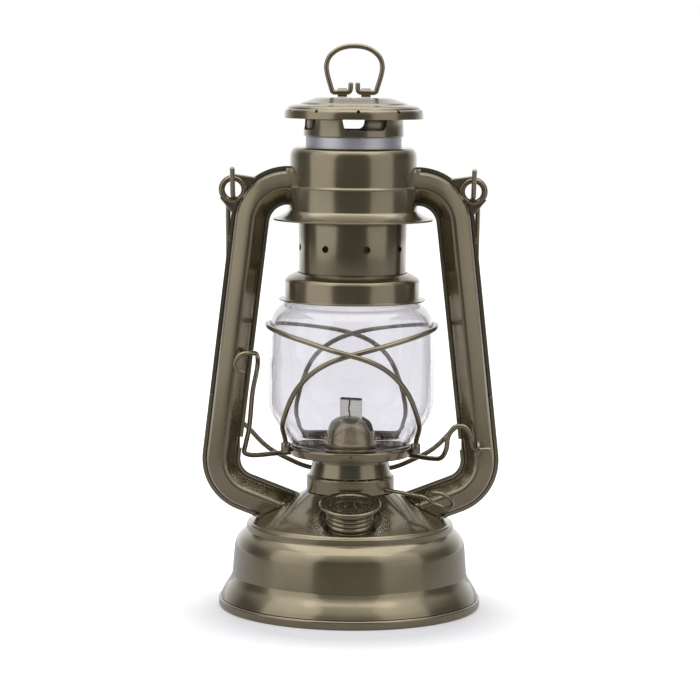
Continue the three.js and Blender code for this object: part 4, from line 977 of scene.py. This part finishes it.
class LANTERN_OT_hood(bpy.types.Operator):
    """Builds the hood: bare sleeve, windowed ring, crown, clips and pull ring"""

    bl_idname = "lantern.hood"
    bl_label = "Hood"

    def execute(self, context):
        sheet = mm("sheet")
        sleeve = turned("bare_sleeve", softened(sleeve_line(mm("sleeve_radius"), 195.4, 236.4), 0.2, 2))
        set_down(sleeve, "hood", bright_tinned_sheet(), "hood_sleeve")

        neck = 24.7
        line = [(32.8, 242.8), (27.2, 242.72), (25.3, 242.55), (neck, 242.3), (neck, 235.2), (24.75, 234.6)]
        ring = turned("windowed_ring", walled([*line, (neck, 233.9)], -sheet))
        cut(ring, *[turn_about(self.window(neck), math.radians(14 + 90 * i)) for i in range(4)])
        lacquered(ring, "hood", "hood_ring")

        rim, step = mm("crown_radius"), (25.8, 250.4)
        line = [(rim, 242.8), (rim - 0.05, 245.6), (rim - 0.4, 246.9)]
        line += [*run((32.8, 247.4), (26.6, 249.6), CROWN), *run(step, (16.6, 253), CROWN_TOP), (0, 253)]
        crown = turned("hood_crown_sheet", softened(line, 0.5, closed=False) + beside(line, sheet)[::-1])
        cut(crown, *around(28, 40, 10, 3.6, 0.8, 246.6, 20))
        lacquered(crown, "hood", "hood_crown")

        pivot, thin = 255.45, mm("wire")
        for name, near in (("clip_left", -8.1), ("clip_right", 3.5)):
            far = near + 4.6
            clip = rod(2.15, (near, 0, pivot), (far, 0, pivot), 40)
            joined(clip, block((near, -3.7, 253.3), (far, 3.7, 253.9)))
            cut(clip, rod(thin + FIT, (near - 3, 0, pivot), (far + 3.4, 0, pivot), 40))
            clip.name = name
            lacquered(clip, "hood", "ring_" + name)

        out, wide, bend, top = 10.4, 13.75, 1.5 * thin, pivot + 24 - thin
        corners = [(1.7, 0, pivot + 5), (1.7, 0, pivot), (out, 0, pivot)]
        half = bent([*corners, (mix(out, wide, 0.35), 0, pivot + bend)], [bend, bend], 6)[:-1]
        arch = [(mix(out, wide, a), 0, mix(pivot, top, b)) for a, b in PULL_RING]
        whole = flowing([*arch, (0, 0, top), *mirrored(arch)], 6)
        ring = wire("pull_ring_wire", relaxed([*half, *whole, *mirrored(half)], 1))
        lacquered(ring, "pull_ring", "hood_ring_pull")
        return {"FINISHED"}

    @staticmethod
    def window(neck):
        """The cutter of one window, narrower at its sill, with rounded edges."""
        half, low = neck * math.sin(math.radians(31)), 237.2
        tool = block((-half, -31, low), (half, 0, 250))
        with editing("VERT"):
            bpy.ops.mesh.select_all(action="DESELECT")
        for v in tool.data.vertices:
            v.select = v.co.z < (low + 1) * MM
        with editing():
            bpy.ops.transform.resize(value=(0.8, 1, 1), center_override=(0, 0, 0))
            bpy.ops.mesh.select_all(action="SELECT")
            bpy.ops.mesh.bevel(offset=2.2 * MM, segments=6, affect="EDGES")
        return tool


# SIDE TUBES

def tube_route():
    """The tube's middle line in the XZ plane, rounded at its two bends."""
    (head_x, head), (foot_x, foot), end, lean = TUBE_HEAD, TUBE_FOOT, 42, math.radians(21)
    run_end = (foot_x - end * math.cos(lean), 0, foot - end * math.sin(lean))
    return bent([(25.8, 0, head), (head_x, 0, head), (foot_x, 0, foot), run_end], [19.1, 17.9], 16)


def tube_across(height):
    """How far out the tube's middle line runs at a height."""
    (head_x, head), (foot_x, foot) = TUBE_HEAD, TUBE_FOOT
    return mix(foot_x, head_x, (height - foot) / (head - foot))


def tube_face():
    """The outside of one pressed half as (across, out), outer side of the bend first."""
    depth = mm("tube_depth")
    ridge = softened([(a * 7.5, mix(SEAM_FACE, depth, b)) for a, b in TUBE_SECTION], 1.1, 4, closed=False)
    return [Vector((-9.53, SEAM_FACE)), *ridge, Vector((9.53, SEAM_FACE))]


def swept_half(name, outline, route):
    """A closed outline of (across, out) carried along a route in the XZ plane by extruding it."""
    directions = [(b - a).normalized() for a, b in zip(route, route[1:])]
    angles = []
    for before, after in zip([directions[0], *directions], [*directions, directions[-1]]):
        mean = (before + after).normalized()
        angles.append(math.atan2(-mean.z, mean.x))
    across = Vector((math.sin(angles[0]), 0, math.cos(angles[0])))
    piece = drawn([route[0] - across * u + Vector((0, -v, 0)) for u, v in outline], closed=True)
    piece.name = name
    with editing(everything=True):
        bpy.ops.mesh.edge_face_add()
        for before, after, was, now in zip(route, route[1:], angles, angles[1:]):
            bpy.ops.mesh.extrude_region_move(TRANSFORM_OT_translate={"value": (after - before) * MM})
            if abs(now - was) > 1e-6:
                bpy.ops.transform.rotate(value=was - now, orient_axis="Y", center_override=after * MM)
    return tidy_mesh(piece)


def seat(face, route, grow, band):
    """The flange round a tube's end: what a band has in common with the grown tube, without its inside."""
    grown, core = beside(face, grow), beside(face, -0.2)
    outside = [(grown[0].x, SEAM_GAP), *grown, (grown[-1].x, SEAM_GAP)]
    flange = swept_half("seat", [Vector(p) for p in outside], route)
    inside = [(core[0].x, -1), *core, (core[-1].x, -1)]
    cut(flange, swept_half("core_tool", [Vector(p) for p in inside], route))
    return combined(flange, band, "INTERSECT")


class LANTERN_OT_side_tubes(bpy.types.Operator):
    """Builds the four pressed halves of the side tubes, their ears and the lever's lug"""

    bl_idname = "lantern.side_tubes"
    bl_label = "Side tubes"

    def execute(self, context):
        route = tube_route()
        face = tube_face()
        # A fine groove runs along each root, where the flange was pressed flat.
        right = [Vector((7.65, 0.5)), Vector((7.85, SEAM_FACE))]
        left = [Vector((-p.x, p.y)) for p in reversed(right)]
        grooved = [face[0], *left, *face[1:-1], *right, face[-1]]
        inside = beside(face, SEAM_GAP - SEAM_FACE)[::-1]
        half = swept_half("tube_right_front", softened(grooved + inside, 0.15, 2), route)
        self.ear(half, route)
        band = turned("band_tool", [(30.9, 190), (33.4, 190), (33.4, 228), (30.9, 228)], 96)
        joined(half, seat(face, [Vector((x, 0, TUBE_HEAD[1])) for x in (28, 36)], 1.5, band))
        # The lip starts a little inside the joint, where it is then cut with the tube.
        lip = cut(fount_solid("lip_tool", 1.5), fount_solid("inside_tool", FIT - 0.2))
        joined(half, seat(face, route[-2:], 1.1, lip))
        # Two small clinches hold the outer flanges together.
        lean = math.atan2(TUBE_FOOT[0] - TUBE_HEAD[0], TUBE_HEAD[1] - TUBE_FOOT[1])
        for height in (183, 106):
            tab = block((-0.75, -1.1, -1.2), (0.75, -0.4, 1.2))
            placed(tab, (tube_across(height) + 8.75, 0, height), (0, -lean, 0))
            modify(tab, "BEVEL", width=0.2 * MM, segments=2, limit_method="ANGLE")
            joined(half, tab)
        x, z = EAR
        bead, neck = [(31.83, 208.6), (31.98, 208.9)], 31.35
        drum = [(0, 180), (31.83, 180), *bead, (neck, 209.9), (neck, 240), (0, 240)]
        cut(half, rod(4.1, (x, -6, z), (x, 6, z), 48), turned("drum_tool", drum))
        cut(half, fount_solid("tank_tool", FIT))
        # The lever's wire passes through a notch in the inner flange.
        low, high = 78.5, 84
        cut(half, block((0, -14, low), (tube_across(low) - 8.75, 14, high)))
        for side, across, along in (("left_front", -1, 1), ("right_rear", 1, -1), ("left_rear", -1, -1)):
            copy = half.copy()
            copy.data = half.data.copy()
            context.collection.objects.link(copy)
            copy.name = "tube_" + side
            copy.scale = (across, along, 1)
            apply_place(copy)
            tidy_mesh(copy)
            lacquered(copy, "frame", "frame_tube_" + side, smooth=30)
        lacquered(half, "frame", "frame_tube_right_front", smooth=30)
        self.lug()
        return {"FINISHED"}

    @staticmethod
    def ear(half, route):
        """Adds the ear and its web to a half, with rims rolled round both."""
        (x, z), radius, steps = EAR, 7.1, 24
        flange = beside([Vector((p.x, p.z)) for p in route], 8.55)
        turns = [2 * math.pi * mix(-0.09, 0.24, k / steps) for k in range(steps + 1)]
        ear = [Vector((x + radius * math.cos(t), z + radius * math.sin(t))) for t in turns]
        web = flange[8:17] + [flange[17].lerp(flange[16], 0.9)] + ear
        plate = drawn([Vector((p.x, -SEAM_FACE, p.y)) for p in web], closed=True)
        with editing(everything=True):
            bpy.ops.mesh.edge_face_add()
            wall = SEAM_FACE - SEAM_GAP
            bpy.ops.mesh.extrude_region_move(TRANSFORM_OT_translate={"value": (0, wall * MM, 0)})
        joined(half, tidy_mesh(plate))
        clear_selection()
        bpy.ops.mesh.primitive_torus_add(
            location=Vector((x, -0.8, z)) * MM, rotation=(math.pi / 2, 0, 0),
            major_radius=5.7 * MM, minor_radius=1.15 * MM, major_segments=64, minor_segments=16,
        )
        rim = bpy.context.object
        apply_place(rim)
        cut(rim, block((50, -0.16, 196), (70, 4, 218)))
        joined(half, rim)
        for ends in ((web[0], ear[-1]), (web[-len(ear) - 1], ear[0])):
            roll = wire("edge_roll", [(p.x, -0.95, p.y) for p in ends], 0.75, 4, round_ends=False)
            joined(half, roll)

    @staticmethod
    def lug():
        y, z = LEVER_AXIS
        inner, near, far, wall = 62.6, y + 2.1, y + 2.9, 3.6
        disc = rod(4.4, (inner, y, z), (inner + 1, y, z), 48)
        cut(disc, block((60, far, 70), (70, 0, 90)))
        joined(disc, block((inner, y, z - wall), (inner + 1, far, z + wall)))
        joined(disc, block((inner, near, z - wall), (inner + 3, far, z + wall)))
        cut(disc, rod(mm("wire") + FIT, (58, y, z), (70, y, z)))
        disc.name = "bearing_lug"
        lacquered(disc, "frame", "lever_lug")


# WIRES

class LANTERN_OT_wires(bpy.types.Operator):
    """Builds the bail with its two hooks, and the lifting lever"""

    bl_idname = "lantern.wires"
    bl_label = "Bail and lever"

    def execute(self, context):
        thin, x = mm("wire"), EAR[0]
        hook_height, eye, shank, stations = 204.75, 2.8, 16, 24
        axis = Vector((0, 5.2, hook_height - eye))
        bend = 1.3 * thin
        front = -SEAM_FACE - bend - thin
        lean = math.radians(30)
        tip = (x, front - shank * math.sin(lean), hook_height + shank * math.cos(lean))
        route = bent([tip, (x, front, hook_height), (x, axis.y, hook_height)], [bend], 8)
        for k in range(1, stations + 1):
            turn = 0.86 * 2 * math.pi * k / stations
            route.append(Vector((x, axis.y + eye * math.sin(turn), axis.z + eye * math.cos(turn))))
        for name, line in (("bail_hook_right", route), ("bail_hook_left", mirrored(route))):
            lacquered(wire(name + "_wire", line), "frame", name)

        wide, drop = 61.9, 140.4
        end = bent([(56.8, 0, 0), (wide, 0, 0), (wide, 0, -21)], [1.2 * thin], 6)
        side = [(mix(wide, 0, a), 0, mix(0, -drop, b)) for a, b in BAIL]
        bow = relaxed(flowing([*side, *mirrored(side)[1:]], 6), 2)
        bail = wire("bail_wire", [*end[:-1], *bow, *mirrored(end)[1:]])
        placed(bail, axis, (math.radians(9.7), 0, 0))
        lacquered(bail, "bail", "bail")
        lacquered(wire("lift_lever_wire", self.lever_route()), "lever", "lift_lever")
        return {"FINISHED"}

    @staticmethod
    def lever_route():
        """From the lug over the arch, under the plate and up to the thumb curl on the left."""
        y, z = LEVER_AXIS
        arch, crank, reach = z + 11.6, 74.05, 21.5
        tail, foot, top = (69.5, y, z), (60.6, y, z), (54, y, arch)
        inner, inner_top, right = (47.4, y, z), (47.4, y, arch), (18, reach, crank)
        left, corner = (-18, reach, crank), (-53.2, 4.2, crank)
        rise, curl, tip = (-46.8, 0, 118.9), (-53.4, -10.9, 126.8), (-57.2, -10.9, 117.4)
        stretches = (
            (tail, foot, [(0.9, 0, 0)]),
            (foot, top, [(0, 0, 0.12), (0.15, 0, 0.55), (0.55, 0, 0.92), (1, 0, 1)]),
            (top, inner, [(0.5, 0, 0.1), (0.9, 0, 0.5)]),
            (inner_top, right, [
                (0, 0.03, 0.65), (0.08, 0.12, 0.92), (0.25, 0.32, 1), (0.55, 0.6, 1), (0.88, 0.92, 1),
            ]),
            (right, left, [(0.06, 0, 0), (0.94, 0, 0)]),
            (left, corner, [(0.12, 0.08, 0), (0.5, 0.48, 0), (0.92, 0.92, 0)]),
            (corner, rise, [
                (0, 0, 0.035), (0.088, 0.05, 0.118), (0.363, 0.25, 0.306), (0.647, 0.9, 0.729), (1, 1, 1),
            ]),
            (rise, curl, [(-0.038, 0.3, 0.667), (0.152, 0.75, 1), (1, 1, 1)]),
            (curl, tip, [(0.75, 0, 0.22), (1, 0, 0.6), (0.5, 0, 0.92), (-0.2, 0, 1)]),
        )
        route = [tail]
        for start, end, shares in stretches:
            route += eased(start, end, shares)
        return flowing(route, 6)


class LANTERN_OT_kept(bpy.types.Operator):
    """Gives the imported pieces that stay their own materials"""

    bl_idname = "lantern.kept"
    bl_label = "Inner pieces"

    def execute(self, context):
        for node, make in (
            ("burner_body", dull_brass), ("wick_tube", dull_brass), ("wick_sprocket", dull_brass),
            ("filler_gasket", moulded_rubber), ("spring_seat", bright_tinned_sheet),
        ):
            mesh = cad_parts[node].data
            mesh.materials.clear()
            mesh.materials.append(make())
        return {"FINISHED"}


class LANTERN_OT_stage(bpy.types.Operator):
    """Sets up the pale floor, the soft studio light and the camera"""

    bl_idname = "lantern.stage"
    bl_label = "Stage"

    def execute(self, context):
        clear_selection()
        bpy.ops.mesh.primitive_plane_add(size=6, location=(0, 0, 0))
        floor = context.object
        floor.name = "studio_floor"
        with editing():
            bpy.ops.mesh.subdivide(number_cuts=3)
        floor.data.materials.append(seamless_paper())
        self.studio(context.scene)
        for name, place, wide, tall, radiance in (
            ("left_softbox", (-0.77, -0.47, 0.45), 0.9, 0.9, 1.12),
            ("right_softbox", (0.72, -0.54, 0.45), 0.8, 0.9, 0.8),
            ("top_softbox", (0, -0.1, 1.0), 1.4, 1.2, 1.5),
        ):
            light = bpy.data.lights.new(name, "AREA")
            light.shape = "RECTANGLE"
            light.size, light.size_y = wide, tall
            light.energy = radiance * math.pi * wide * tall
            lamp = bpy.data.objects.new(name, light)
            context.scene.collection.objects.link(lamp)
            lamp.location = place
            lamp.rotation_euler = (Vector((0, 0, 0.13)) - Vector(place)).to_track_quat("-Z", "Y").to_euler()

        context.scene.view_settings.view_transform = "Standard"
        lens = bpy.data.cameras.new("photo_camera")
        lens.lens = 136.3
        lens.sensor_width = 36
        camera = bpy.data.objects.new("photo_camera", lens)
        context.scene.collection.objects.link(camera)
        camera.location = (-0.0022, -1.31, 0.27)
        camera.rotation_euler = Euler((math.radians(83.814), math.radians(-0.57), 0))
        context.scene.camera = camera
        return {"FINISHED"}

    @staticmethod
    def studio(scene):
        """Surrounds the lantern with a white studio that is dark where metal mirrors its front."""
        scene.world = bpy.data.worlds.new("studio")
        scene.world.use_nodes = True
        tree = scene.world.node_tree
        tree.nodes.clear()
        # Metal mirrors the white backdrop and a glow overhead; towards the camera the studio is dark.
        direction = add_node(tree, "ShaderNodeTexCoord").outputs["Generated"]
        way = add_node(tree, "ShaderNodeSeparateXYZ", {"Vector": direction}).outputs
        backdrop = ramp(tree, way["Y"], [(0.0, 0.17), (0.45, 0.13), (0.9, 1.0)])
        overhead = ramp(tree, way["Z"], [(0.1, 0.0), (0.35, 0.15), (0.75, 1.0)])
        glow = blended(tree, 1.0, backdrop, overhead, "LIGHTEN")
        dim, studio, white = (
            add_node(tree, "ShaderNodeBackground", {"Color": tone, "Strength": strength}).outputs[0]
            for tone, strength in (((1, 1, 1, 1), 0.75), (glow, 1.0), ((1, 1, 1, 1), 1.0))
        )
        glossy = add_node(tree, "ShaderNodeLightPath").outputs["Is Glossy Ray"]
        unseen = add_node(tree, "ShaderNodeMixShader", {0: glossy, 1: dim, 2: studio}).outputs[0]
        mixed = add_node(tree, "ShaderNodeMixShader", {0: seen(tree), 1: unseen, 2: white}).outputs[0]
        add_node(tree, "ShaderNodeOutputWorld", {"Surface": mixed})


STEPS = (
    LANTERN_OT_fount, LANTERN_OT_filler, LANTERN_OT_burner, LANTERN_OT_globe, LANTERN_OT_chimney,
    LANTERN_OT_hood, LANTERN_OT_side_tubes, LANTERN_OT_wires, LANTERN_OT_kept, LANTERN_OT_stage,
)


class LANTERN_PT_sidebar(bpy.types.Panel):
    """Lists the steps that build the lantern"""

    bl_idname = "LANTERN_PT_sidebar"
    bl_label = "Oil lantern"
    bl_space_type = "VIEW_3D"
    bl_region_type = "UI"
    bl_category = "Lantern"

    def draw(self, context):
        for group in (context.scene.lantern_sizes, context.scene.lantern_finishes):
            for name in group.__annotations__:
                self.layout.prop(group, name)
        for step in STEPS:
            self.layout.operator(step.bl_idname)


CLASSES = (LanternSizes, LanternFinishes, *STEPS, LANTERN_PT_sidebar)


def register():
    for made in CLASSES:
        bpy.utils.register_class(made)
    bpy.types.Scene.lantern_sizes = PointerProperty(type=LanternSizes)
    bpy.types.Scene.lantern_finishes = PointerProperty(type=LanternFinishes)


def unregister():
    del bpy.types.Scene.lantern_finishes
    del bpy.types.Scene.lantern_sizes
    for made in reversed(CLASSES):
        bpy.utils.unregister_class(made)


def main():
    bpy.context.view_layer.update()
    register()
    for step in STEPS:
        group, name = step.bl_idname.split(".")
        getattr(getattr(bpy.ops, group), name)()


if __name__ == "__main__":
    main()
